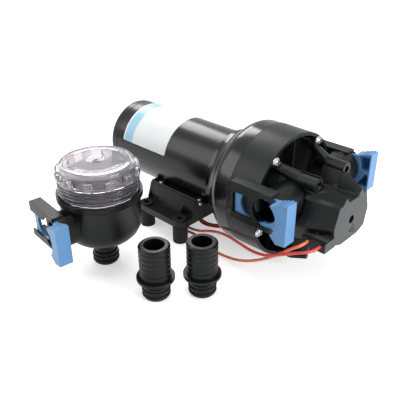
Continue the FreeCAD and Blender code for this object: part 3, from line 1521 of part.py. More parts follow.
def tube_along(route, radius):
    """A round tube of straight runs joined by tangent arcs, with the tightest arc's radius."""
    edges, radii = [], []
    start = route[0]
    for before, corner, after in zip(route, route[1:], route[2:]):
        back = (before - corner)
        ahead = (after - corner)
        reach = 0.45 * min(back.Length, ahead.Length)
        back.normalize()
        ahead.normalize()
        half_turn = (math.pi - back.getAngle(ahead)) / 2
        bend = reach / math.tan(half_turn)
        inward = back + ahead
        inward.normalize()
        middle = corner + inward * (bend / math.cos(half_turn) - bend)
        entry = corner + back * reach
        leave = corner + ahead * reach
        edges.append(Part.LineSegment(start, entry).toShape())
        edges.append(Part.Arc(entry, middle, leave).toShape())
        start = leave
        radii.append(bend)
    edges.append(Part.LineSegment(start, route[-1]).toShape())
    path = Part.Wire(edges)
    section = Part.Wire(Part.Circle(route[0], route[1] - route[0], radius).toShape())
    tube = path.makePipeShell([section], True, False)
    return tube, path.Length, radii


# Points that the leads follow from the switch cover's duct to the grommet under the neck
RED_ROUTE = [
    (182.7, -40.3, 56.5), (182.7, -51.0, 56.5), (173.8, -58.5, 55.8), (159.8, -61.0, 47.9),
    (143.2, -62.0, 38.7), (124.3, -59.0, 33.2), (107.9, -56.5, 33.1), (92.9, -57.0, 35.8),
    (75.6, -53.0, 30.9), (56.6, -47.0, 21.2), (38.5, -41.5, 10.6), (20.0, -38.0, 5.4),
    (5.0, -37.0, 4.8), (-7.0, -31.0, 4.8), (-12.0, -19.0, 4.8), (-5.5, -8.5, 4.8),
    (6.0, -8.5, 4.9), (14.5, -16.5, 5.0), (25.0, -21.0, 5.0), (36.5, -19.0, 5.4),
    (47.5, -11.5, 5.4), (53.0, -4.9, 8.3), (55.5, -1.8, 14.6), (55.5, -1.8, 22.0),
]
ORANGE_ROUTE = [
    (170.2, -40.3, 56.5), (170.2, -49.5, 56.5), (163.6, -55.5, 53.0), (152.6, -56.5, 42.6),
    (138.8, -56.5, 31.3), (121.4, -56.0, 19.7), (102.8, -54.0, 10.4), (83.5, -51.0, 4.7),
    (65.7, -48.5, 2.2), (46.9, -43.5, 1.6), (31.0, -38.0, 1.45), (16.0, -40.0, 1.45),
    (2.0, -36.0, 1.45), (-6.0, -25.0, 1.45), (-4.0, -13.0, 1.45), (7.0, -9.0, 1.45),
    (19.0, -13.0, 1.45), (31.0, -13.0, 2.0), (42.5, -8.0, 4.2), (51.5, -1.0, 8.0),
    (55.5, 1.8, 14.6), (55.5, 1.8, 22.0),
]


def leads():
    """The two leads of the pressure switch, tied to the duct's side and to the grommet."""
    radius = plain(S.lead_radius)
    for label, route in (("red_lead", RED_ROUTE), ("orange_lead", ORANGE_ROUTE)):
        points = [Vector(*place) for place in route]
        points[0].y = -plain(S.duct_outer_y)
        points[-1].x = plain(grommet_x)
        points[-1].z = plain(S.axis_height - S.neck_radius - S.grommet_drop)
        tube, length, radii = tube_along(points, radius)
        expected = math.pi * radius ** 2 * length
        print(f"{label}: length {length:.1f} mm, arc radii {min(radii):.1f} to {max(radii):.1f} mm,"
              f" volume {tube.Volume / expected:.4f} of section times length")
        lead = doc.addObject("Part::Feature", "Lead")
        lead.Shape = tube
        lead.Placement = FreeCAD.Placement(Vector(0, 0, 0), UPRIGHT)
        piece(label, lead)


def main():
    """Builds every sub-part."""
    motor_shell()
    motor_inside()
    rear_housing()
    drive()
    valve_gear()
    front_housing()
    head_fixings()
    switch_cover()
    pressure_switch()
    clips()
    base()
    grommet()
    leads()
    hose_tail(1, S.left_tail_x, S.left_tail_y)
    hose_tail(2, S.right_tail_x, S.right_tail_y)
    strainer()


main()
doc.recompute()

problems = []
for thing in doc.Objects:
    for word in ("Invalid", "Error"):
        if word in thing.State:
            problems.append(f"{thing.Name} ({thing.Label}): {word}")
for thing in PIECES:
    if thing.Shape.isNull() or not thing.Shape.isValid():
        problems.append(f"{thing.Label}: bad shape")
if problems:
    raise RuntimeError("; ".join(problems))

os.makedirs("parts", exist_ok=True)
for thing in PIECES:
    thing.Shape.exportStep(f"parts/{thing.Label}.step")
print(f"{len(PIECES)} sub-parts, {sum(len(thing.Shape.Solids) for thing in PIECES)} solids")
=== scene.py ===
"""Looks of a diaphragm water pump with its strainer, hose tails and switch leads.

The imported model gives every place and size. This script adds the finishes, rounds the
moulded edges, and makes the pieces that need a finer form than the solids have.
"""

import logging
import math
from dataclasses import dataclass
from enum import Enum

import bmesh
import bpy
from mathutils import Matrix, Vector


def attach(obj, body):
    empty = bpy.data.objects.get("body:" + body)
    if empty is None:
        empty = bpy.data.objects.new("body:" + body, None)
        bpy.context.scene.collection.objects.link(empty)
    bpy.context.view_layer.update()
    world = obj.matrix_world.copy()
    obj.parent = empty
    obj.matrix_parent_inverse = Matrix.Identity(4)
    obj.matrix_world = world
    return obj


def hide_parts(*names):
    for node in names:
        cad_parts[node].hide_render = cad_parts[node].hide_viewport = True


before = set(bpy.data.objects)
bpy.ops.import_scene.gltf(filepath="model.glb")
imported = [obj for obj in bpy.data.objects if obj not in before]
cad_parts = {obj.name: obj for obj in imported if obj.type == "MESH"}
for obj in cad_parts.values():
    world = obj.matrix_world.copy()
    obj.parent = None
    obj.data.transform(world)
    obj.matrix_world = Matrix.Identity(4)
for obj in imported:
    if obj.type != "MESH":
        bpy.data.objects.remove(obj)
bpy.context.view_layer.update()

Point = tuple[float, float, float]
Box = tuple[Point, Point]

MM = 0.001
WHITE = (1.0, 1.0, 1.0, 1.0)
AXIS_HEIGHT = 70.0 * MM
PUMP_CENTRE = Vector((0.0, 0.0, AXIS_HEIGHT))
PUMP_AXIS = Vector((1.0, 0.0, 0.0))
# The ports' place along the pump and their height, in millimetres
PORT_ALONG = 140.0
PORT_HEIGHT = 84.0
# The strainer's upright axis in millimetres, and its turn about that axis in degrees
STRAINER_X = -4.8
STRAINER_Y = -130.1
STRAINER_TURN = -5.8
# Edges that turn by more than these are shaded sharp, and are rounded
SMOOTH_ANGLE = math.radians(32.0)
ROUNDED_ANGLE = math.radians(34.0)
# Faces of a solid's mesh that turn by less than this are one face
FLAT_ANGLE = math.radians(0.4)
# How strongly large faces keep their flat shading beside rounded edges
FLAT_WEIGHT = 80
# Corners closer than these are one corner: of a solid's mesh, and of a turned one
SOLID_GAP = 0.002 * MM
TURNED_GAP = 0.001 * MM
# The radius that stands for the axis itself, in millimetres
ON_AXIS = 0.01
# Sockets of a mix node for colours: the first colour, the second one and the blend
MIX_FIRST, MIX_SECOND, MIX_RESULT = 6, 7, 2
log = logging.getLogger("pump")


def linear(code: str) -> tuple[float, float, float, float]:
    """Turns an sRGB hex colour into a linear one.

    Args:
        code: The colour as "#rrggbb".

    Returns:
        Red, green, blue and an alpha of 1.
    """
    parts = [int(code[index:index + 2], 16) / 255.0 for index in (1, 3, 5)]
    values = [part / 12.92 if part <= 0.04045 else ((part + 0.055) / 1.055) ** 2.4
              for part in parts]
    return (*values, 1.0)


def add_node(
    tree: bpy.types.NodeTree,
    kind: str,
    settings: dict | None = None,
    links: dict | None = None,
) -> bpy.types.Node:
    """Adds a node to a material or world.

    Args:
        tree: The node tree that gets the node.
        kind: The node's Blender type.
        settings: Values by attribute name, or by input name where no attribute has it.
        links: Output sockets by the name or number of the input that they feed.

    Returns:
        The new node.
    """
    node = tree.nodes.new(kind)
    for name, value in (settings or {}).items():
        if hasattr(node, name):
            setattr(node, name, value)
        else:
            node.inputs[name].default_value = value
    for name, socket in (links or {}).items():
        tree.links.new(socket, node.inputs[name])
    return node


def seen_rays(tree: bpy.types.NodeTree) -> bpy.types.Node:
    """Adds nodes that are 1 for a ray that shows a surface, and 0 for a ray that lights one.

    Args:
        tree: The node tree that gets the nodes.

    Returns:
        The node with the value.
    """
    path = add_node(tree, "ShaderNodeLightPath")
    straight = add_node(tree, "ShaderNodeMath", {"operation": "MAXIMUM"},
                        {0: path.outputs["Is Camera Ray"], 1: path.outputs["Is Transmission Ray"]})
    return add_node(tree, "ShaderNodeMath", {"operation": "MAXIMUM"},
                    {0: straight.outputs[0], 1: path.outputs["Is Glossy Ray"]})


def noise(tree: bpy.types.NodeTree, place: bpy.types.NodeSocket, size: float,
          layers: float = 2.0) -> bpy.types.Node:
    """Adds a soft noise.

    Args:
        tree: The node tree that gets the node.
        place: The output socket with the place in the object.
        size: The size of its patches in millimetres.
        layers: How many finer layers it has.

    Returns:
        The new node.
    """
    return add_node(tree, "ShaderNodeTexNoise", {"Scale": 1.0 / (size * MM), "Detail": layers},
                    {"Vector": place})


def blend(tree: bpy.types.NodeTree, share: bpy.types.NodeSocket, tone: str,
          shade: str) -> bpy.types.Node:
    """Adds a blend of two colours.

    Args:
        tree: The node tree that gets the node.
        share: The output socket with the second colour's share.
        tone: The first colour as "#rrggbb".
        shade: The second colour as "#rrggbb".

    Returns:
        The new node.
    """
    node = add_node(tree, "ShaderNodeMix", {"data_type": "RGBA"}, {0: share})
    node.inputs[MIX_FIRST].default_value = linear(tone)
    node.inputs[MIX_SECOND].default_value = linear(shade)
    return node


@dataclass(frozen=True)
class Surface:
    """What a surface is. Each kind of surface draws its own material."""

    name: str

    def material(self) -> bpy.types.Material:
        """Gives the surface's material, and makes it at its first use.

        Returns:
            The material.
        """
        known = bpy.data.materials.get(self.name)
        if known:
            return known
        material = bpy.data.materials.new(self.name)
        material.use_nodes = True
        tree = material.node_tree
        self.draw(tree, tree.nodes["Principled BSDF"])
        return material

    def draw(self, tree: bpy.types.NodeTree, shader: bpy.types.Node) -> None:
        """Adds the nodes that give the surface its look.

        Args:
            tree: The material's node tree.
            shader: The material's shader.
        """
        raise NotImplementedError


@dataclass(frozen=True)
class Finish(Surface):
    """An opaque finish: two tones in soft patches, uneven gloss and a fine relief.

    Sizes are real ones in millimetres. The relief is drawn no finer than about 0.6 mm,
    because a finer one is lost in the render.
    """

    tone: str
    shade: str
    roughness: float
    patch: float = 18.0
    patch_layers: float = 4.0
    relief: float = 0.8
    relief_layers: float = 3.0
    relief_strength: float = 0.5
    depth: float = 0.02
    metallic: float = 0.0
    stretch: Point = (1.0, 1.0, 1.0)
    gloss_spread: float = 0.06
    edge: float = 0.4
    edge_samples: int = 6
    specular: float = 0.5

    def draw(self, tree: bpy.types.NodeTree, shader: bpy.types.Node) -> None:
        """Adds the patches, the gloss and the relief.

        Args:
            tree: The material's node tree.
            shader: The material's shader.
        """
        shader.inputs["Metallic"].default_value = self.metallic
        shader.inputs["Specular IOR Level"].default_value = self.specular
        place = add_node(tree, "ShaderNodeTexCoord")
        patches = noise(tree, place.outputs["Object"], self.patch, self.patch_layers)
        tones = blend(tree, patches.outputs["Fac"], self.tone, self.shade)
        tree.links.new(tones.outputs[MIX_RESULT], shader.inputs["Base Color"])
        gloss = add_node(tree, "ShaderNodeMapRange",
                         {"To Min": self.roughness - self.gloss_spread,
                          "To Max": self.roughness + self.gloss_spread},
                         {"Value": patches.outputs["Fac"]})
        tree.links.new(gloss.outputs["Result"], shader.inputs["Roughness"])
        along = add_node(tree, "ShaderNodeMapping", {"Scale": self.stretch},
                         {"Vector": place.outputs["Object"]})
        grain = noise(tree, along.outputs["Vector"], self.relief, self.relief_layers)
        edges = add_node(tree, "ShaderNodeBevel",
                         {"samples": self.edge_samples, "Radius": self.edge * MM})
        bump = add_node(tree, "ShaderNodeBump",
                        {"Strength": self.relief_strength, "Distance": self.depth * MM},
                        {"Height": grain.outputs["Fac"], "Normal": edges.outputs["Normal"]})
        tree.links.new(bump.outputs["Normal"], shader.inputs["Normal"])


@dataclass(frozen=True)
class ClearFinish(Surface):
    """A clear moulded finish, faintly smoky, with soft flow lines in its gloss.

    The flow lines' size is in millimetres. The haze says how many times as rough the
    roughest places are.
    """

    tone: str
    roughness: float
    ior: float
    clearness: float = 0.93
    flow: float = 14.0
    haze: float = 2.0

    def draw(self, tree: bpy.types.NodeTree, shader: bpy.types.Node) -> None:
        """Adds the tint and the flow lines.

        Args:
            tree: The material's node tree.
            shader: The material's shader.
        """
        shader.inputs["Base Color"].default_value = linear(self.tone)
        shader.inputs["Transmission Weight"].default_value = self.clearness
        shader.inputs["IOR"].default_value = self.ior
        place = add_node(tree, "ShaderNodeTexCoord")
        flow = noise(tree, place.outputs["Object"], self.flow)
        haze = add_node(tree, "ShaderNodeMapRange",
                        {"To Min": self.roughness, "To Max": self.roughness * self.haze},
                        {"Value": flow.outputs["Fac"]})
        tree.links.new(haze.outputs["Result"], shader.inputs["Roughness"])


class Weave(Enum):
    """The ways that the wires of the strainer's screen run, as bands of a wave texture."""

    WARP = "DIAGONAL"
    WEFT = "Z"


@dataclass(frozen=True)
class WovenWire(Surface):
    """Stainless wire cloth, drawn as a relief of crossing wires, with sizes in millimetres."""

    name: str = "woven_stainless"
    tone: str = "#87827f"
    shade: str = "#b5b0ad"
    roughness: float = 0.35
    pitch: float = 1.1
    depth: float = 0.1
    strength: float = 0.4

    def draw(self, tree: bpy.types.NodeTree, shader: bpy.types.Node) -> None:
        """Adds the wires.

        Args:
            tree: The material's node tree.
            shader: The material's shader.
        """
        shader.inputs["Metallic"].default_value = 1.0
        shader.inputs["Roughness"].default_value = self.roughness
        place = add_node(tree, "ShaderNodeTexCoord")
        wires = [add_node(tree, "ShaderNodeTexWave",
                          {"bands_direction": way.value,
                           "Scale": 1.0 / (self.pitch * MM) / math.tau},
                          {"Vector": place.outputs["Object"]})
                 for way in Weave]
        height = add_node(tree, "ShaderNodeMath", {"operation": "MAXIMUM"},
                          {index: wire.outputs["Fac"] for index, wire in enumerate(wires)})
        tones = blend(tree, height.outputs[0], self.tone, self.shade)
        tree.links.new(tones.outputs[MIX_RESULT], shader.inputs["Base Color"])
        bump = add_node(tree, "ShaderNodeBump",
                        {"Strength": self.strength, "Distance": self.depth * MM},
                        {"Height": height.outputs[0]})
        tree.links.new(bump.outputs["Normal"], shader.inputs["Normal"])


@dataclass(frozen=True)
class LabelFilm(Surface):
    """Printed polyester film: white, with a light blue band near its rear edge.

    The band's place along the pump and its half width are in millimetres.
    """

    name: str = "label_film"
    tone: str = "#d9dfe0"
    shade: str = "#e3e7e8"
    band: str = "#93c4da"
    band_middle: float = -70.9
    band_half: float = 6.1
    patch: float = 20.0
    roughness: float = 0.35

    def draw(self, tree: bpy.types.NodeTree, shader: bpy.types.Node) -> None:
        """Adds the white film and its band.

        Args:
            tree: The material's node tree.
            shader: The material's shader.
        """
        shader.inputs["Roughness"].default_value = self.roughness
        place = add_node(tree, "ShaderNodeTexCoord")
        parts = add_node(tree, "ShaderNodeSeparateXYZ", {}, {0: place.outputs["Object"]})
        banded = add_node(tree, "ShaderNodeMath", {"operation": "COMPARE"},
                          {0: parts.outputs["X"]})
        banded.inputs[1].default_value = self.band_middle * MM
        banded.inputs[2].default_value = self.band_half * MM
        fade = noise(tree, place.outputs["Object"], self.patch)
        paper = blend(tree, fade.outputs["Fac"], self.tone, self.shade)
        tones = blend(tree, banded.outputs[0], self.tone, self.band)
        tree.links.new(paper.outputs[MIX_RESULT], tones.inputs[MIX_FIRST])
        tree.links.new(tones.outputs[MIX_RESULT], shader.inputs["Base Color"])


@dataclass(frozen=True)
class FloorPaper(Surface):
    """Pale matt paper, brighter to the camera than as a source of light."""

    name: str = "pale_floor"
    grey: float = 0.9
    roughness: float = 0.9
    glow: float = 0.5

    def draw(self, tree: bpy.types.NodeTree, shader: bpy.types.Node) -> None:
        """Adds the paper and its glow.

        Args:
            tree: The material's node tree.
            shader: The material's shader.
        """
        shader.inputs["Base Color"].default_value = (self.grey, self.grey, self.grey, 1.0)
        shader.inputs["Roughness"].default_value = self.roughness
        shader.inputs["Specular IOR Level"].default_value = 0.0
        seen = seen_rays(tree)
        extra = add_node(tree, "ShaderNodeMath", {"operation": "MULTIPLY"}, {0: seen.outputs[0]})
        extra.inputs[1].default_value = self.glow
        shader.inputs["Emission Color"].default_value = WHITE
        tree.links.new(extra.outputs[0], shader.inputs["Emission Strength"])


# The switch cover's end face: greyer and matt, as painted light where the light from the right
# falls on it
COVER_FACE_PAINTED_LIGHT = Finish("cover_face_painted_light", "#2b2c2e", "#343537", 0.5, relief=0.7)
# The drum's inside: greyer than the housing, as painted light where light reaches into the drum
DRUM_PAINTED_LIGHT = Finish("drum_painted_light", "#242526", "#2c2d2e", 0.45, specular=0.4)
# Baked paint on drawn steel: deep black, smooth, with a soft broad highlight
BAKED_PAINT = Finish("baked_paint", "#0a0b0c", "#0f1011", 0.24, patch=40.0, relief=1.6,
                     depth=0.004, specular=0.32)
# Glass-filled polypropylene from a grained tool: charcoal with a satin sheen
GRAINED_PLASTIC = Finish("grained_plastic", "#0c0d0e", "#121314", 0.36, relief=0.7, depth=0.015,
                         specular=0.25)
# The same plastic from a polished tool: darker, and it mirrors the lamps
POLISHED_PLASTIC = Finish("polished_plastic", "#08090a", "#0c0d0e", 0.17, patch=30.0, relief=2.5,
                          depth=0.004, specular=0.4)
# Nylon of the plug fittings: slightly warm black with a dull sheen
FITTING_NYLON = Finish("fitting_nylon", "#090a0a", "#0e0f0f", 0.36, relief=0.7, depth=0.012,
                       specular=0.2)
# Acetal of the clips, coloured through: light blue with a soft shine
BLUE_ACETAL = Finish("blue_acetal", "#5183b4", "#5a8cbc", 0.38, patch=12.0, relief=0.9, depth=0.01)
# Uncoloured acetal of the inner pieces: milky white
NATURAL_ACETAL = Finish("natural_acetal", "#d9d8d0", "#e4e3dc", 0.45)
# Moulded nitrile rubber: nearly black and dull
RUBBER = Finish("nitrile_rubber", "#0e0e0f", "#141415", 0.6, relief=0.9, depth=0.03,
                specular=0.25)
# Bright zinc plate on pressed screws: pale, a little uneven
ZINC_PLATE = Finish("zinc_plate", "#c9ccce", "#aeb1b4", 0.22, patch=4.0, relief=1.0, depth=0.01,
                    metallic=1.0)
# Ground bearing steel: pale grey with fine rings
GROUND_STEEL = Finish("ground_steel", "#b9babb", "#a3a5a7", 0.25, metallic=1.0,
                      stretch=(6.0, 1.0, 1.0))
# Sintered ferrite: dark grey and dull
FERRITE = Finish("ferrite", "#2b2b2d", "#343437", 0.6)
# Stacked steel laminations: grey with fine lines across the axis
LAMINATIONS = Finish("laminations", "#6d6f72", "#808285", 0.45, metallic=0.8,
                     stretch=(8.0, 0.6, 0.6))
# Enamelled copper: orange brown and glossy
COPPER = Finish("enamelled_copper", "#a85a2e", "#bd6a38", 0.3, metallic=0.9, depth=0.2)
# Pressed carbon: black and slightly sooty
CARBON = Finish("pressed_carbon", "#1a1a1b", "#242425", 0.7)
# Die-cast zinc alloy: matt silver
CAST_ALLOY = Finish("cast_alloy", "#9fa1a4", "#b0b2b5", 0.4, metallic=1.0, relief=1.2, depth=0.05)
# Soft PVC insulation: even colour with a satin shine
RED_PVC = Finish("red_pvc", "#d03a3a", "#d84644", 0.38, patch=25.0, relief=1.5, depth=0.01)
ORANGE_PVC = Finish("orange_pvc", "#ea7446", "#ef8152", 0.38, patch=25.0, relief=1.5, depth=0.01)
# Clear polycarbonate: glassy with a faint smoke tint
CLEAR_PC = ClearFinish("clear_polycarbonate", "#e9e5e9", 0.03, 1.4)
# The same in the thick threaded skirt, where it looks smoky
SMOKY_PC = ClearFinish("smoky_polycarbonate", "#8d8a93", 0.04, 1.42)


def dressed(finish: Surface, *nodes: str) -> None:
    """Gives CAD nodes their finish.

    Args:
        finish: What their surface is.
        nodes: The nodes' names.
    """
    for node in nodes:
        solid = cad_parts[node]
        if not solid.material_slots:
            solid.data.materials.append(finish.material())
        for place in solid.material_slots:
            place.material = finish.material()


def meshed(bm: bmesh.types.BMesh, name: str) -> bpy.types.Mesh:
    """Turns an edited mesh into a plain one.

    Args:
        bm: The edited mesh; it is freed.
        name: The new mesh's name.

    Returns:
        The new mesh.
    """
    mesh = bpy.data.meshes.new(name)
    bm.to_mesh(mesh)
    bm.free()
    return mesh


def placed(name: str, data: bpy.types.ID) -> bpy.types.Object:
    """Adds an object to the scene.

    Args:
        name: The object's name.
        data: Its mesh, curve, light or camera.

    Returns:
        The new object.
    """
    thing = bpy.data.objects.new(name, data)
    bpy.context.scene.collection.objects.link(thing)
    return thing


def finished(bm: bmesh.types.BMesh, name: str, body: str, finish: Surface,
             replaced: tuple[str, ...] = ()) -> bpy.types.Object:
    """Turns an edited mesh into a piece of the model.

    Args:
        bm: The edited mesh, in metres and in place; it is freed.
        name: The piece's name.
        body: The body that it rides on.
        finish: What its surface is.
        replaced: The CAD nodes that it stands for.

    Returns:
        The new object.
    """
    mesh = meshed(bm, name)
    mesh.shade_smooth()
    mesh.set_sharp_from_angle(angle=SMOOTH_ANGLE)
    mesh.materials.append(finish.material())
    piece = placed(name, mesh)
    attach(piece, body)
    if replaced:
        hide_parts(*replaced)
    log.info("%s: %d faces", name, len(mesh.polygons))
    return piece


def softened(node: str, body: str, finish: Surface,
             edge: float) -> bpy.types.Object:
    """Makes a piece with a CAD node's own shape and rounded edges.

    Args:
        node: The node that it stands for.
        body: The body that it rides on.
        finish: What its surface is.
        edge: The width of the rounding in millimetres, or 0 for none.

    Returns:
        The new object.
    """
    bm = bmesh.new()
    bm.from_mesh(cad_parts[node].data)
    bmesh.ops.remove_doubles(bm, verts=bm.verts, dist=SOLID_GAP)
    bmesh.ops.dissolve_limit(bm, angle_limit=FLAT_ANGLE, verts=bm.verts, edges=bm.edges)
    piece = finished(bm, f"{node}_shell", body, finish, (node,))
    if edge:
        rounded(piece, edge)
    return piece


def rounded(piece: bpy.types.Object, edge: float) -> None:
    """Rounds a piece's sharp edges and keeps its large faces flat.

    Args:
        piece: The piece.
        edge: The width of the rounding in millimetres.
    """
    rounding = piece.modifiers.new("Rounded edges", "BEVEL")
    rounding.limit_method = "ANGLE"
    rounding.angle_limit = ROUNDED_ANGLE
    rounding.width = edge * MM
    rounding.segments = 2
    rounding.profile = 0.5
    rounding.use_clamp_overlap = True
    flattened(piece)


def bored(piece: bpy.types.Object, place: Matrix, radius: float, depth: float,
          steps: int = 64) -> None:
    """Cuts a round hole into a piece that has no modifiers yet.

    Args:
        piece: The piece.
        place: The hole's middle, and its axis as the matrix's Z.
        radius: The hole's radius in millimetres.
        depth: The hole's length in millimetres.
        steps: How many flat sides the hole has.
    """
    bm = bmesh.new()
    bmesh.ops.create_cone(bm, cap_ends=True, segments=steps, radius1=radius * MM,
                          radius2=radius * MM, depth=depth * MM)
    bmesh.ops.transform(bm, matrix=place, verts=bm.verts)
    mesh = meshed(bm, "hole")
    hole = placed("hole", mesh)
    cutting = piece.modifiers.new("Hole", "BOOLEAN")
    cutting.object = hole
    cutting.operation = "DIFFERENCE"
    graph = bpy.context.evaluated_depsgraph_get()
    plain = piece.data
    piece.data = bpy.data.meshes.new_from_object(piece.evaluated_get(graph))
    piece.modifiers.clear()
    piece.data.set_sharp_from_angle(angle=SMOOTH_ANGLE)
    bpy.data.meshes.remove(plain)
    bpy.data.objects.remove(hole)
    bpy.data.meshes.remove(mesh)


def flattened(piece: bpy.types.Object) -> None:
    """Lets a piece's large faces keep their flat shading beside rounded edges.

    Args:
        piece: The piece.
    """
    weighting = piece.modifiers.new("Flat faces", "WEIGHTED_NORMAL")
    weighting.keep_sharp = True
    weighting.weight = FLAT_WEIGHT


def repainted(piece: bpy.types.Object, finish: Surface, box: Box) -> None:
    """Gives the faces of a piece inside a box a second finish.

    Args:
        piece: The piece.
        finish: The second finish.
        box: The box's lower and upper corner in metres.
    """
    first, last = (Vector(corner) for corner in box)
    piece.data.materials.append(finish.material())
    for face in piece.data.polygons:
        inside = all(low <= value <= high
                     for low, value, high in zip(first, face.center, last))
        if inside:
            face.material_index = len(piece.data.materials) - 1


def spun(profile: list[tuple[float, float]], centre: Vector, axis: Vector,
         steps: int = 128) -> bmesh.types.BMesh:
    """Turns a closed profile about an axis.

    Args:
        profile: Corners as (distance along the axis, radius) in millimetres.
        centre: The point of the axis from which distances count, in metres.
        axis: The axis's direction.
        steps: How many steps the full turn has.

    Returns:
        The turned mesh, with its faces pointing outwards.
    """
    across = Vector((0, 0, 1)) if abs(axis.z) < 0.5 else Vector((1, 0, 0))
    bm = bmesh.new()
    corners = [bm.verts.new(centre + axis * (along * MM) + across * (radius * MM))
               for along, radius in profile]
    edges = [bm.edges.new(pair) for pair in zip(corners, [*corners[1:], corners[0]])]
    bmesh.ops.spin(bm, geom=corners + edges, cent=centre, axis=axis, angle=math.tau, steps=steps,
                   use_merge=True, use_duplicate=False)
    bmesh.ops.remove_doubles(bm, verts=bm.verts, dist=TURNED_GAP)
    bmesh.ops.recalc_face_normals(bm, faces=bm.faces)
    return bm


def edges_of(corners: list[bmesh.types.BMVert]) -> list[bmesh.types.BMEdge]:
    """Collects the edges at some corners, each once and in the corners' order.

    Args:
        corners: The corners.

    Returns:
        Their edges.
    """
    return list(dict.fromkeys(edge for corner in corners for edge in corner.link_edges))


def arc(across: float, up: float, radius: float, first: float, last: float,
        steps: int) -> list[tuple[float, float]]:
    """Points of an arc about a centre.

    Args:
        across: The centre's first coordinate.
        up: The centre's second coordinate.
        radius: The arc's radius.
        first: The angle at its start, in degrees.
        last: The angle at its end, in degrees.
        steps: How many chords it has.

    Returns:
        The points, in order.
    """
    turns = [math.radians(first + (last - first) * index / steps) for index in range(steps + 1)]
    return [(across + radius * math.cos(turn), up + radius * math.sin(turn)) for turn in turns]


@dataclass
class Motor:
    """The painted motor with its end cap, label and fixings.

    Sizes are in millimetres. The label's lower and upper edge are angles in degrees, from
    the motor's near side upwards.
    """

    rear: float = -102.0
    cap_length: float = 11.5
    radius: float = 40.3
    wall: float = 2.1
    edge: float = 5.0
    chamfer: float = 0.5
    disc: float = 24.0
    disc_dish: float = 0.001
    groove: float = 0.8
    groove_side: float = 1.0
    groove_gap: float = 2.2
    can_edge: float = 0.4
    label_rear: float = -79.3
    label_front: float = -12.8
    label_low: float = 14.6
    label_high: float = 152.0
    label_corner: float = 2.7
    label_lift: float = 0.15
    label_thickness: float = 0.1

    def build(self) -> None:
        """Builds and dresses the motor."""
        self.end_cap()
        softened("motor_can", "pump", BAKED_PAINT, self.can_edge)
        self.label()
        dressed(BAKED_PAINT, "motor_front_plate", "motor_brackets")
        dressed(ZINC_PLATE, "motor_through_bolts", "motor_fixing_screws")
        dressed(GROUND_STEEL, "motor_bearings", "motor_shaft", "brush_springs")
        dressed(FERRITE, "field_magnets")
        dressed(LAMINATIONS, "armature_core")
        dressed(COPPER, "armature_windings", "commutator")
        dressed(NATURAL_ACETAL, "brush_card")
        dressed(CARBON, "brushes")

    def end_cap(self) -> None:
        """Builds the end cap: a disc, a shallow groove round it and a large round edge."""
        front = self.rear + self.cap_length
        rim = self.radius - self.edge
        profile = [(self.rear, ON_AXIS), (self.rear + self.disc_dish, self.disc),
                   (self.rear + self.groove, self.disc + self.groove_side),
                   (self.rear + self.groove, rim - self.groove_gap - self.groove_side),
                   (self.rear, rim - self.groove_gap),
                   *arc(self.rear + self.edge, rim, self.edge, 180, 92, steps=8),
                   (front - self.chamfer, self.radius), (front, self.radius - self.chamfer),
                   (front, self.radius - self.wall), (front, ON_AXIS)]
        finished(spun(profile, PUMP_CENTRE, PUMP_AXIS), "end_cap_shell", "pump", BAKED_PAINT,
                 ("motor_end_cap",))

    def label(self) -> None:
        """Builds the label: a thin sheet bent round the can, with rounded corners."""
        bm = bmesh.new()
        bmesh.ops.create_grid(bm, x_segments=24, y_segments=64, size=0.5)
        long = (self.label_front - self.label_rear) * MM
        turn = math.radians(self.label_high - self.label_low)
        wide = turn * self.radius * MM
        bmesh.ops.scale(bm, vec=(long, wide, 1.0), verts=bm.verts)
        corners = [vert for vert in bm.verts if len(vert.link_edges) == 2]
        bmesh.ops.bevel(bm, geom=corners, offset=self.label_corner * MM, segments=6,
                        profile=0.5, affect="VERTICES", material=-1)
        middle = (self.label_front + self.label_rear) / 2 * MM
        first = math.radians(self.label_low)
        around = (self.radius + self.label_lift) * MM
        for vert in bm.verts:
            angle = first + (vert.co.y + wide / 2) / (self.radius * MM)
            vert.co = Vector((middle + vert.co.x, -around * math.cos(angle),
                              AXIS_HEIGHT + around * math.sin(angle)))
        bmesh.ops.recalc_face_normals(bm, faces=bm.faces)
        face = bm.faces[:][0]
        if face.normal.dot(face.calc_center_median() - Vector((middle, 0, AXIS_HEIGHT))) < 0:
            bmesh.ops.reverse_faces(bm, faces=bm.faces)
        bmesh.ops.solidify(bm, geom=bm.faces, thickness=self.label_thickness * MM)
        bmesh.ops.recalc_face_normals(bm, faces=bm.faces)
        finished(bm, "plain_label", "pump", LabelFilm())


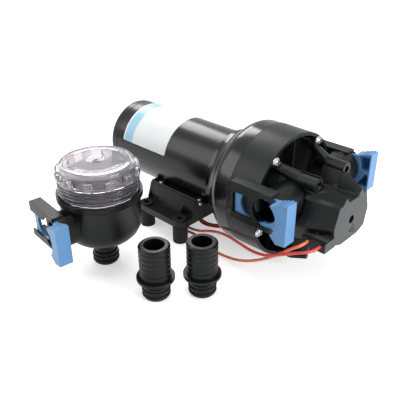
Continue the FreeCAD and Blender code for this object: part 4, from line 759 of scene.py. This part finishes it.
@dataclass
class PumpHead:
    """The rear bell, the moulded front housing, the switch cover and their screws.

    Sizes are in millimetres. The drum's inside and the cover's end face are boxes in metres,
    round the faces that get a greyer colour as painted light.
    """

    neck_rear: float = 51.0
    neck_radius: float = 45.0
    neck_flat: float = 3.0
    neck_edge: float = 0.6
    motor_bore: float = 40.4
    plate_front: float = 60.0
    seam: float = 94.0
    seam_edge: float = 0.5
    head_radius: float = 62.0
    head_flat: float = 12.0
    recess: float = 52.5
    recess_depth: float = 2.0
    chamber: float = 48.0
    chamber_depth: float = 14.0
    cone: float = 43.0
    cone_rear: float = 64.0
    shaft_bore: float = 20.0
    screw_edge: float = 0.3
    # Boxes round the faces that are painted greyer as painted light: the drum's inside and the
    # cover's end face
    painted_light_drum_box: Box = ((0.096, -0.035, 0.035), (0.1225, 0.035, 0.116))
    painted_light_face_box: Box = ((0.1875, -1.0, -1.0), (0.19, 1.0, 1.0))

    def build(self) -> None:
        """Builds and dresses the pump head."""
        self.rear_bell()
        housing = softened("front_housing", "pump", GRAINED_PLASTIC, 0.0)
        # The drum's inside gets a greyer colour: painted light where light reaches into the drum
        repainted(housing, DRUM_PAINTED_LIGHT, self.painted_light_drum_box)
        cover = softened("switch_cover", "pump", GRAINED_PLASTIC, 0.0)
        # The cover's end face gets a greyer colour: painted light for the light that falls on it
        # from the right
        repainted(cover, COVER_FACE_PAINTED_LIGHT, self.painted_light_face_box)
        softened("cover_screws", "pump", ZINC_PLATE, self.screw_edge)
        dressed(ZINC_PLATE, "switch_cover_screws", "adjusting_screw", "piston_screws")
        dressed(RUBBER, "diaphragm", "inlet_valves", "outlet_valve", "valve_plate_seal",
                "switch_diaphragm", "lead_grommet")
        dressed(NATURAL_ACETAL, "valve_plate", "wobble_plate", "piston_caps", "micro_switch",
                "spring_seat", "switch_plunger")
        dressed(GROUND_STEEL, "cam_bearing", "switch_spring")
        dressed(CAST_ALLOY, "eccentric_hub")

    def rear_bell(self) -> None:
        """Builds the glossy bell between motor and head, with its sweeping flare."""
        flare = self.neck_rear + self.neck_flat
        flare_end = self.seam - self.head_flat
        run = (flare_end - flare) / 2
        rise = (self.head_radius - self.neck_radius) / 2
        sweep = (run * run + rise * rise) / (rise * 2)
        swing = math.degrees(math.asin(run / sweep))
        profile = [(self.neck_rear, self.motor_bore),
                   (self.neck_rear, self.neck_radius - self.neck_edge),
                   (self.neck_rear + self.neck_edge, self.neck_radius),
                   *arc(flare, self.neck_radius + sweep, sweep, -90, swing - 90, steps=12),
                   *arc(flare_end, self.head_radius - sweep, sweep, swing + 90, 90,
                        steps=12)[1:],
                   (self.seam - self.seam_edge, self.head_radius),
                   (self.seam, self.head_radius - self.seam_edge), (self.seam, self.recess),
                   (self.seam - self.recess_depth, self.recess),
                   (self.seam - self.recess_depth, self.chamber),
                   (self.seam - self.chamber_depth, self.chamber), (self.cone_rear, self.cone),
                   (self.cone_rear, self.shaft_bore), (self.plate_front, self.shaft_bore),
                   (self.plate_front, self.motor_bore)]
        finished(spun(profile, PUMP_CENTRE, PUMP_AXIS), "rear_bell", "pump", POLISHED_PLASTIC,
                 ("rear_housing",))


@dataclass(frozen=True)
class Block:
    """A moulded block with flat sides, mirrored about the pump's middle plane.

    Each row of corners is a place along the pump and then pairs across and up, all in
    millimetres, with heights from the floor.
    """

    rows: tuple[tuple[float, tuple[tuple[float, float], ...]], ...]

    def add_to(self, bm: bmesh.types.BMesh) -> None:
        """Adds the block and its mirror image to a mesh.

        Args:
            bm: The mesh.
        """
        for side in (-1, 1):
            points = [bm.verts.new((along * MM, side * across * MM, up * MM))
                      for along, pairs in self.rows for across, up in pairs]
            bmesh.ops.convex_hull(bm, input=points)


@dataclass
class Ribs:
    """The flat-sided ribs that stiffen the pump head in front of its drum.

    The edge is in millimetres. Faces that turn by less than the flat angle are one face.
    """

    edge: float = 0.35
    flat_angle: float = math.radians(3.0)
    horns: tuple[Block, ...] = (
        Block(((144.0, ((8.5, 88.5), (19.9, 109.6), (20.9, 109.6), (14.0, 90.0))),
               (164.8, ((8.5, 88.5), (19.9, 109.6), (20.9, 109.6), (14.0, 90.0))))),
        Block(((165.0, ((8.0, 88.6), (14.8, 101.6), (20.5, 98.0))), (168.5, ((17.0, 100.4),)),
               (187.6, ((12.2, 94.2), (8.6, 88.8), (16.4, 89.6))))))
    soles: tuple[Block, ...] = (
        Block(((119.0, ((6.4, 9.8), (11.6, 10.2), (6.4, 42.0), (11.6, 42.0))),
               (151.0, ((6.4, 12.0), (9.6, 12.4))), (155.0, ((6.4, 43.0), (11.6, 43.0))))),
        Block(((121.0, ((5.8, 9.9), (20.0, 12.2), (5.8, 14.6), (20.0, 16.0))),
               (139.0, ((5.8, 10.8), (17.5, 12.0), (5.8, 15.0), (17.5, 15.8))),
               (151.0, ((5.8, 11.8), (8.5, 12.0), (5.8, 15.4), (8.5, 15.6))))))

    def build(self) -> None:
        """Builds the ribs beside the screw tubes and those under the switch cover."""
        for name, blocks in (("horn_ribs", self.horns), ("bottom_ribs", self.soles)):
            bm = bmesh.new()
            for block in blocks:
                block.add_to(bm)
            bmesh.ops.dissolve_limit(bm, angle_limit=self.flat_angle, verts=bm.verts,
                                     edges=bm.edges)
            bmesh.ops.recalc_face_normals(bm, faces=bm.faces)
            bmesh.ops.bevel(bm, geom=bm.edges[:], offset=self.edge * MM, segments=2, profile=0.5,
                            affect="EDGES", material=-1)
            flattened(finished(bm, name, "pump", GRAINED_PLASTIC))


@dataclass
class PortCollars:
    """The raised collars round the two ports, in front of the clips' plates.

    Sizes are in millimetres, and the collars' two ends round the port in degrees. The
    bevel starts at a share of the collars' height.
    """

    inner: float = 12.8
    outer: float = 17.6
    first: float = 38.0
    last: float = 242.0
    face: float = 66.6
    back: float = 64.2
    bevel: float = 0.5
    bevel_start: float = 0.8

    def build(self) -> None:
        """Builds both collars as one piece."""
        bm = bmesh.new()
        start = math.radians(self.first)
        outward = Vector((math.cos(start), 0.0, math.sin(start)))
        for side in (-1, 1):
            centre = Vector((PORT_ALONG * MM, side * self.back * MM, PORT_HEIGHT * MM))
            lift = Vector((0.0, side * (self.face - self.back) * MM, 0.0))
            corners = [bm.verts.new(centre + outward * (radius * MM) + lift * share)
                       for radius, share in ((self.inner, 0.0), (self.outer, 0.0),
                                             (self.outer, self.bevel_start),
                                             (self.outer - self.bevel, 1.0),
                                             (self.inner + self.bevel, 1.0),
                                             (self.inner, self.bevel_start))]
            face = bm.faces.new(corners)
            bmesh.ops.spin(bm, geom=[face, *corners, *face.edges], cent=centre,
                           axis=(0.0, -1.0, 0.0), steps=48, use_duplicate=False,
                           angle=math.radians(self.last - self.first))
        bmesh.ops.recalc_face_normals(bm, faces=bm.faces)
        finished(bm, "port_collars", "pump", GRAINED_PLASTIC)


@dataclass
class Clips:
    """The three blue clips that lock the ports, each a keyhole plate with a handle.

    Sizes are in millimetres. A port's plate stands off the pump's middle plane, and the
    strainer's off its upright axis.
    """

    edge: float = 0.45
    hole_radius: float = 13.4
    hole_shift: float = 14.4
    hole_depth: float = 6.0
    port_plate: float = 62.5
    strainer_plate: float = 51.2
    strainer_height: float = 53.0

    def build(self) -> None:
        """Builds the clips."""
        turn = math.radians(STRAINER_TURN)
        strainer_port = Vector((STRAINER_X + self.strainer_plate * math.sin(turn),
                                STRAINER_Y - self.strainer_plate * math.cos(turn),
                                self.strainer_height))
        for node, body, port, across in (
                ("near_port_clip", "near_clip",
                 Vector((PORT_ALONG, -self.port_plate, PORT_HEIGHT)), 0.0),
                ("far_port_clip", "far_clip",
                 Vector((PORT_ALONG, self.port_plate, PORT_HEIGHT)), 0.0),
                ("strainer_clip", "strainer_clip", strainer_port, turn)):
            clip = softened(node, body, BLUE_ACETAL, 0.0)
            along = Vector((math.cos(across), math.sin(across), 0.0))
            place = Matrix.Translation((port - along * self.hole_shift) * MM) \
                @ Matrix.Rotation(across, 4, "Z") @ Matrix.Rotation(math.radians(90), 4, "X")
            bored(clip, place, self.hole_radius, self.hole_depth)
            rounded(clip, self.edge)


@dataclass
class Base:
    """The saddle under the motor, its screws and its feet, with the edge in millimetres."""

    edge: float = 0.6

    def build(self) -> None:
        """Builds and dresses the base."""
        softened("base_saddle", "pump", GRAINED_PLASTIC, self.edge)
        softened("rubber_feet", "pump", RUBBER, self.edge)
        dressed(ZINC_PLATE, "base_strap_screws")


@dataclass(frozen=True)
class Lead:
    """One switch lead: the points that it follows, in metres, and its real length."""

    node: str
    slot: str
    finish: Finish
    length: float
    points: tuple[Point, ...]


RED_LEAD = Lead("red_lead", "red_wire", RED_PVC, 0.3226, (
    (0.1827, -0.0403, 0.0565), (0.1825, -0.0488, 0.0564), (0.1788, -0.0556, 0.0561),
    (0.1722, -0.0590, 0.0545), (0.1598, -0.0610, 0.0479), (0.1432, -0.0620, 0.0387),
    (0.1243, -0.0590, 0.0332), (0.1079, -0.0565, 0.0331), (0.0929, -0.0570, 0.0358),
    (0.0756, -0.0530, 0.0309), (0.0566, -0.0470, 0.0212), (0.0385, -0.0415, 0.0106),
    (0.0200, -0.0380, 0.0054), (0.0050, -0.0370, 0.0048), (-0.0070, -0.0310, 0.0048),
    (-0.0120, -0.0190, 0.0048), (-0.0055, -0.0085, 0.0048), (0.0060, -0.0085, 0.0049),
    (0.0145, -0.0165, 0.0050), (0.0250, -0.0210, 0.0050), (0.0365, -0.0190, 0.0054),
    (0.0475, -0.0115, 0.0054), (0.0530, -0.0049, 0.0083), (0.0555, -0.0018, 0.0146),
    (0.0555, -0.0018, 0.0220)))
ORANGE_LEAD = Lead("orange_lead", "orange_wire", ORANGE_PVC, 0.2959, (
    (0.1702, -0.0403, 0.0565), (0.1702, -0.0495, 0.0565), (0.1636, -0.0555, 0.0530),
    (0.1526, -0.0565, 0.0426), (0.1388, -0.0565, 0.0313), (0.1214, -0.0560, 0.0197),
    (0.1028, -0.0540, 0.0104), (0.0835, -0.0510, 0.0047), (0.0657, -0.0485, 0.0022),
    (0.0469, -0.0435, 0.0016), (0.0310, -0.0380, 0.00145), (0.0160, -0.0400, 0.00145),
    (0.0020, -0.0360, 0.00145), (-0.0060, -0.0250, 0.00145), (-0.0040, -0.0130, 0.00145),
    (0.0070, -0.0090, 0.00145), (0.0190, -0.0130, 0.00145), (0.0310, -0.0130, 0.0020),
    (0.0425, -0.0080, 0.0042), (0.0515, -0.0010, 0.0080), (0.0555, 0.0018, 0.0146),
    (0.0555, 0.0018, 0.0220)))


@dataclass
class Leads:
    """The two thin leads from the pressure switch, with their radius in millimetres."""

    radius: float = 1.4

    def build(self) -> None:
        """Lays both leads as smooth curves."""
        for lead in (RED_LEAD, ORANGE_LEAD):
            curve = bpy.data.curves.new(f"{lead.node}_line", "CURVE")
            curve.dimensions = "3D"
            curve.bevel_depth = self.radius * MM
            curve.bevel_resolution = 5
            curve.resolution_u = 10
            curve.use_fill_caps = True
            spline = curve.splines.new("NURBS")
            spline.points.add(len(lead.points) - 1)
            for point, place in zip(spline.points, lead.points):
                point.co = (*place, 1.0)
            spline.order_u = 3
            spline.use_endpoint_u = True
            curve.materials.append(lead.finish.material())
            piece = placed(f"{lead.node}_wire", curve)
            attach(piece, "pump")
            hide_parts(lead.node)
            log.info("%s laid through %d points", lead.node, len(lead.points))


@dataclass
class SealRings:
    """The two round sealing rings of one plug, with sizes in millimetres.

    The middle is the place on the floor, in metres, over which the rings lie.
    """

    node: str
    body: str
    middle: Vector
    wire: float = 1.4
    centre_radius: float = 11.8
    heights: tuple[float, float] = (3.6, 8.9)

    def build(self) -> None:
        """Builds both rings as one piece."""
        bm = bmesh.new()
        for height in self.heights:
            at = self.middle + Vector((0, 0, height * MM))
            made = bmesh.ops.create_circle(bm, segments=16, radius=self.wire * MM)
            turn = Matrix.Translation(at + Vector((self.centre_radius * MM, 0, 0))) \
                @ Matrix.Rotation(math.radians(90), 4, "X")
            bmesh.ops.transform(bm, matrix=turn, verts=made["verts"])
            edges = edges_of(made["verts"])
            bmesh.ops.spin(bm, geom=made["verts"] + edges, cent=at, axis=(0, 0, 1),
                           angle=math.tau, steps=72, use_merge=True, use_duplicate=False)
        bmesh.ops.remove_doubles(bm, verts=bm.verts, dist=TURNED_GAP)
        bmesh.ops.recalc_face_normals(bm, faces=bm.faces)
        finished(bm, f"{self.node}_round", self.body, RUBBER, (self.node,))


@dataclass
class HoseTails:
    """The two loose hose tails, with places and edge in millimetres."""

    places: tuple[tuple[float, float], ...] = ((73.8, -134.1), (101.1, -101.7))
    edge: float = 0.3

    def build(self) -> None:
        """Builds the tails and their rings."""
        for number, (x, y) in enumerate(self.places, start=1):
            node, body = f"hose_tail_{number}", f"tail_{number}"
            softened(node, body, FITTING_NYLON, self.edge)
            SealRings(f"{node}_rings", body, Vector((x * MM, y * MM, 0.0))).build()


@dataclass
class ClearLid:
    """The clear screw lid: threaded skirt, ring of grip lugs, round shoulder and sunk disc.

    Places along the axis are heights from the floor and the others are radii, widths and
    drops, all in millimetres. The centre is in metres and the two turns are in degrees.
    """

    centre: Vector
    turn: float
    bottom: float = 73.6
    plug: float = 36.1
    plug_wall: float = 2.2
    rest: float = 80.15
    skirt: float = 37.2
    thread: float = 38.4
    thread_start: float = 2.2
    thread_pitch: float = 3.2
    threads: int = 4
    flange: float = 38.0
    flange_low: float = 95.5
    flange_high: float = 97.4
    foot_height: float = 0.5
    foot_width: float = 0.6
    shoulder: float = 35.2
    shoulder_high: float = 106.8
    crown: float = 110.0
    ring: float = 26.6
    ring_groove: float = 1.0
    slope: float = 0.3
    sunk: float = 1.6
    disc_rise: float = 0.5
    nub: float = 3.2
    nub_rim: float = 1.2
    nub_drop: float = 0.2
    dimple: float = 1.6
    dimple_drop: float = 1.0
    wall: float = 2.4
    smoky_gap: float = 0.5
    lugs: int = 12
    lug_turn: float = 15.0
    lug_root: float = 0.4
    lug_reach: float = 39.5
    lug_width: float = 8.6
    lug_high: float = 103.6
    lug_gap: float = 0.2
    lug_edge: float = 0.8

    def build(self) -> None:
        """Builds the lid."""
        bm = spun(self.outside() + self.inside(), self.centre, Vector((0, 0, 1)), steps=144)
        for index in range(self.lugs):
            self.lug(bm, math.radians(self.turn + self.lug_turn + index * 360.0 / self.lugs))
        lid = finished(bm, "clear_lid", "lid", CLEAR_PC, ("strainer_lid",))
        smoky_top = self.flange_low * MM - self.smoky_gap * MM
        repainted(lid, SMOKY_PC, ((-1.0, -1.0, 0.0), (1.0, 1.0, smoky_top)))

    def outside(self) -> list[tuple[float, float]]:
        """Draws the outer profile, from the plug's foot up to the middle of the nub.

        Returns:
            Its corners as (height from the floor, radius) in millimetres.
        """
        profile = [(self.bottom, self.plug - self.plug_wall), (self.bottom, self.plug),
                   (self.rest, self.plug), (self.rest, self.skirt)]
        for index in range(self.threads):
            middle = self.rest + self.thread_start + self.thread_pitch * index
            profile += arc(middle, self.skirt, self.thread - self.skirt, 180, 0, steps=6)
        crown_round = self.crown - self.shoulder_high
        groove = self.crown - self.sunk
        disc = groove + self.disc_rise
        top = self.crown - self.nub_drop
        dimple = self.crown - self.dimple_drop
        return profile + [
            (self.flange_low, self.skirt), (self.flange_low, self.flange),
            (self.flange_high, self.flange),
            (self.flange_high + self.foot_height, self.shoulder + self.foot_width),
            *arc(self.shoulder_high, self.shoulder - crown_round, crown_round, 90, 0, steps=8),
            (self.crown, self.ring + self.slope), (groove, self.ring),
            (groove, self.ring - self.ring_groove),
            (disc, self.ring - self.ring_groove - self.slope), (disc, self.nub + self.slope),
            (top, self.nub), (top, self.nub - self.nub_rim), (dimple, self.nub - self.dimple),
            (dimple, ON_AXIS)]

    def inside(self) -> list[tuple[float, float]]:
        """Draws the inner profile, from the middle of the disc down to the plug.

        Returns:
            Its corners as (height from the floor, radius) in millimetres.
        """
        crown_round = self.crown - self.shoulder_high
        return [(self.crown - self.sunk - self.wall, ON_AXIS),
                *arc(self.shoulder_high - self.wall, self.shoulder - crown_round - self.wall,
                     crown_round, 0, 90, steps=6),
                (self.flange_low, self.shoulder - self.wall),
                (self.flange_low - self.wall, self.plug - self.plug_wall)]

    def lug(self, bm: bmesh.types.BMesh, turn: float) -> None:
        """Adds one grip lug with rounded edges.

        Args:
            bm: The lid's mesh.
            turn: Where the lug stands round the lid, in radians.
        """
        inner = self.shoulder - self.lug_root
        deep = self.lug_reach - inner
        high = self.lug_high - self.flange_low - self.lug_gap
        made = bmesh.ops.create_cube(bm, size=1.0)
        bmesh.ops.scale(bm, vec=(deep * MM, self.lug_width * MM, high * MM), verts=made["verts"])
        place = Vector(((self.lug_reach + inner) / 2 * MM, 0.0,
                        (self.flange_low + self.lug_gap + high / 2) * MM))
        matrix = Matrix.Translation(self.centre) @ Matrix.Rotation(turn, 4, "Z") \
            @ Matrix.Translation(place)
        bmesh.ops.transform(bm, matrix=matrix, verts=made["verts"])
        bmesh.ops.bevel(bm, geom=edges_of(made["verts"]), offset=self.lug_edge * MM, segments=3,
                        profile=0.5, affect="EDGES", material=-1)


@dataclass
class Strainer:
    """The strainer with its lid and screen: its place in millimetres, its turn in degrees."""

    x: float = STRAINER_X
    y: float = STRAINER_Y
    turn: float = STRAINER_TURN

    def build(self) -> None:
        """Builds and dresses the strainer."""
        centre = Vector((self.x * MM, self.y * MM, 0.0))
        softened("strainer_body", "strainer", FITTING_NYLON, 0.0)
        ClearLid(centre, self.turn).build()
        dressed(WovenWire(), "strainer_screen")
        SealRings("strainer_spigot_rings", "strainer", centre).build()


@dataclass(frozen=True)
class Lamp:
    """A soft square lamp: its place and side in metres, and its power in watts."""

    name: str
    place: Point
    size: float
    power: float

    def build(self, target: Vector) -> None:
        """Adds the lamp.

        Args:
            target: The point that it looks at.
        """
        light = bpy.data.lights.new(self.name, "AREA")
        light.size = self.size
        light.energy = self.power
        lamp = placed(self.name, light)
        lamp.location = Vector(self.place)
        lamp.rotation_euler = (target - Vector(self.place)).to_track_quat("-Z", "Y").to_euler()


@dataclass
class Studio:
    """The camera, the lamps, the floor and the white surroundings.

    Places and the floor's half side are in metres, the camera's angles in degrees, and its
    lens and sensor in millimetres.
    """

    eye: Point = (0.38896, -0.40397, 0.33062)
    yaw: float = 43.82
    pitch: float = 29.28
    roll: float = -0.44
    lens: float = 51.02
    sensor: float = 36.0
    clip_start: float = 0.01
    ambient: float = 0.4
    floor_half: float = 4.0
    lit_point: Point = (0.04, -0.03, 0.06)
    lamps: tuple[Lamp, ...] = (Lamp("overhead", (0.05, -0.05, 1.1), 0.7, 4.1),
                               Lamp("far_left", (-0.78, 0.44, 0.88), 0.5, 7.5),
                               Lamp("right_side", (1.0, 0.1, 0.38), 0.5, 7.5),
                               Lamp("near_left", (-0.6, -0.75, 0.7), 0.7, 4.2))

    def build(self) -> None:
        """Sets up everything round the object."""
        self.camera()
        self.floor()
        self.world()
        for lamp in self.lamps:
            lamp.build(Vector(self.lit_point))
        bpy.context.scene.view_settings.view_transform = "Standard"

    def camera(self) -> None:
        """Places the camera at the photograph's angle."""
        yaw, pitch, roll = (math.radians(value) for value in (self.yaw, self.pitch, self.roll))
        back = Vector((math.sin(yaw) * math.cos(pitch), -math.cos(yaw) * math.cos(pitch),
                       math.sin(pitch)))
        level = Vector((math.cos(yaw), math.sin(yaw), 0.0))
        rise = back.cross(level)
        right = level * math.cos(roll) + rise * math.sin(roll)
        up = rise * math.cos(roll) - level * math.sin(roll)
        camera = placed("view", bpy.data.cameras.new("view"))
        camera.data.lens = self.lens
        camera.data.sensor_width = self.sensor
        camera.data.clip_start = self.clip_start
        turn = Matrix((right, up, back)).transposed().to_4x4()
        camera.matrix_world = Matrix.Translation(Vector(self.eye)) @ turn
        bpy.context.scene.camera = camera

    def floor(self) -> None:
        """Lays a pale floor that keeps the object's soft shadow."""
        bm = bmesh.new()
        bmesh.ops.create_grid(bm, x_segments=1, y_segments=1, size=self.floor_half)
        mesh = meshed(bm, "floor")
        mesh.materials.append(FloorPaper().material())
        placed("floor", mesh)

    def world(self) -> None:
        """Makes the surroundings white to the camera and an even grey as a lamp."""
        world = bpy.data.worlds.new("studio")
        world.use_nodes = True
        tree = world.node_tree
        back = tree.nodes["Background"]
        seen = seen_rays(tree)
        strength = add_node(tree, "ShaderNodeMapRange", {"To Min": self.ambient, "To Max": 1.0},
                            {"Value": seen.outputs[0]})
        back.inputs["Color"].default_value = WHITE
        tree.links.new(strength.outputs["Result"], back.inputs["Strength"])
        bpy.context.scene.world = world


def main() -> None:
    """Builds the object's looks and the studio round it."""
    for part in (Studio(), Leads(), Motor(), PumpHead(), Ribs(), PortCollars(), Clips(), Base(),
                 HoseTails(), Strainer()):
        part.build()
        log.info("%s done", type(part).__name__)


if __name__ == "__main__":
    logging.basicConfig(level=logging.INFO)
    main()
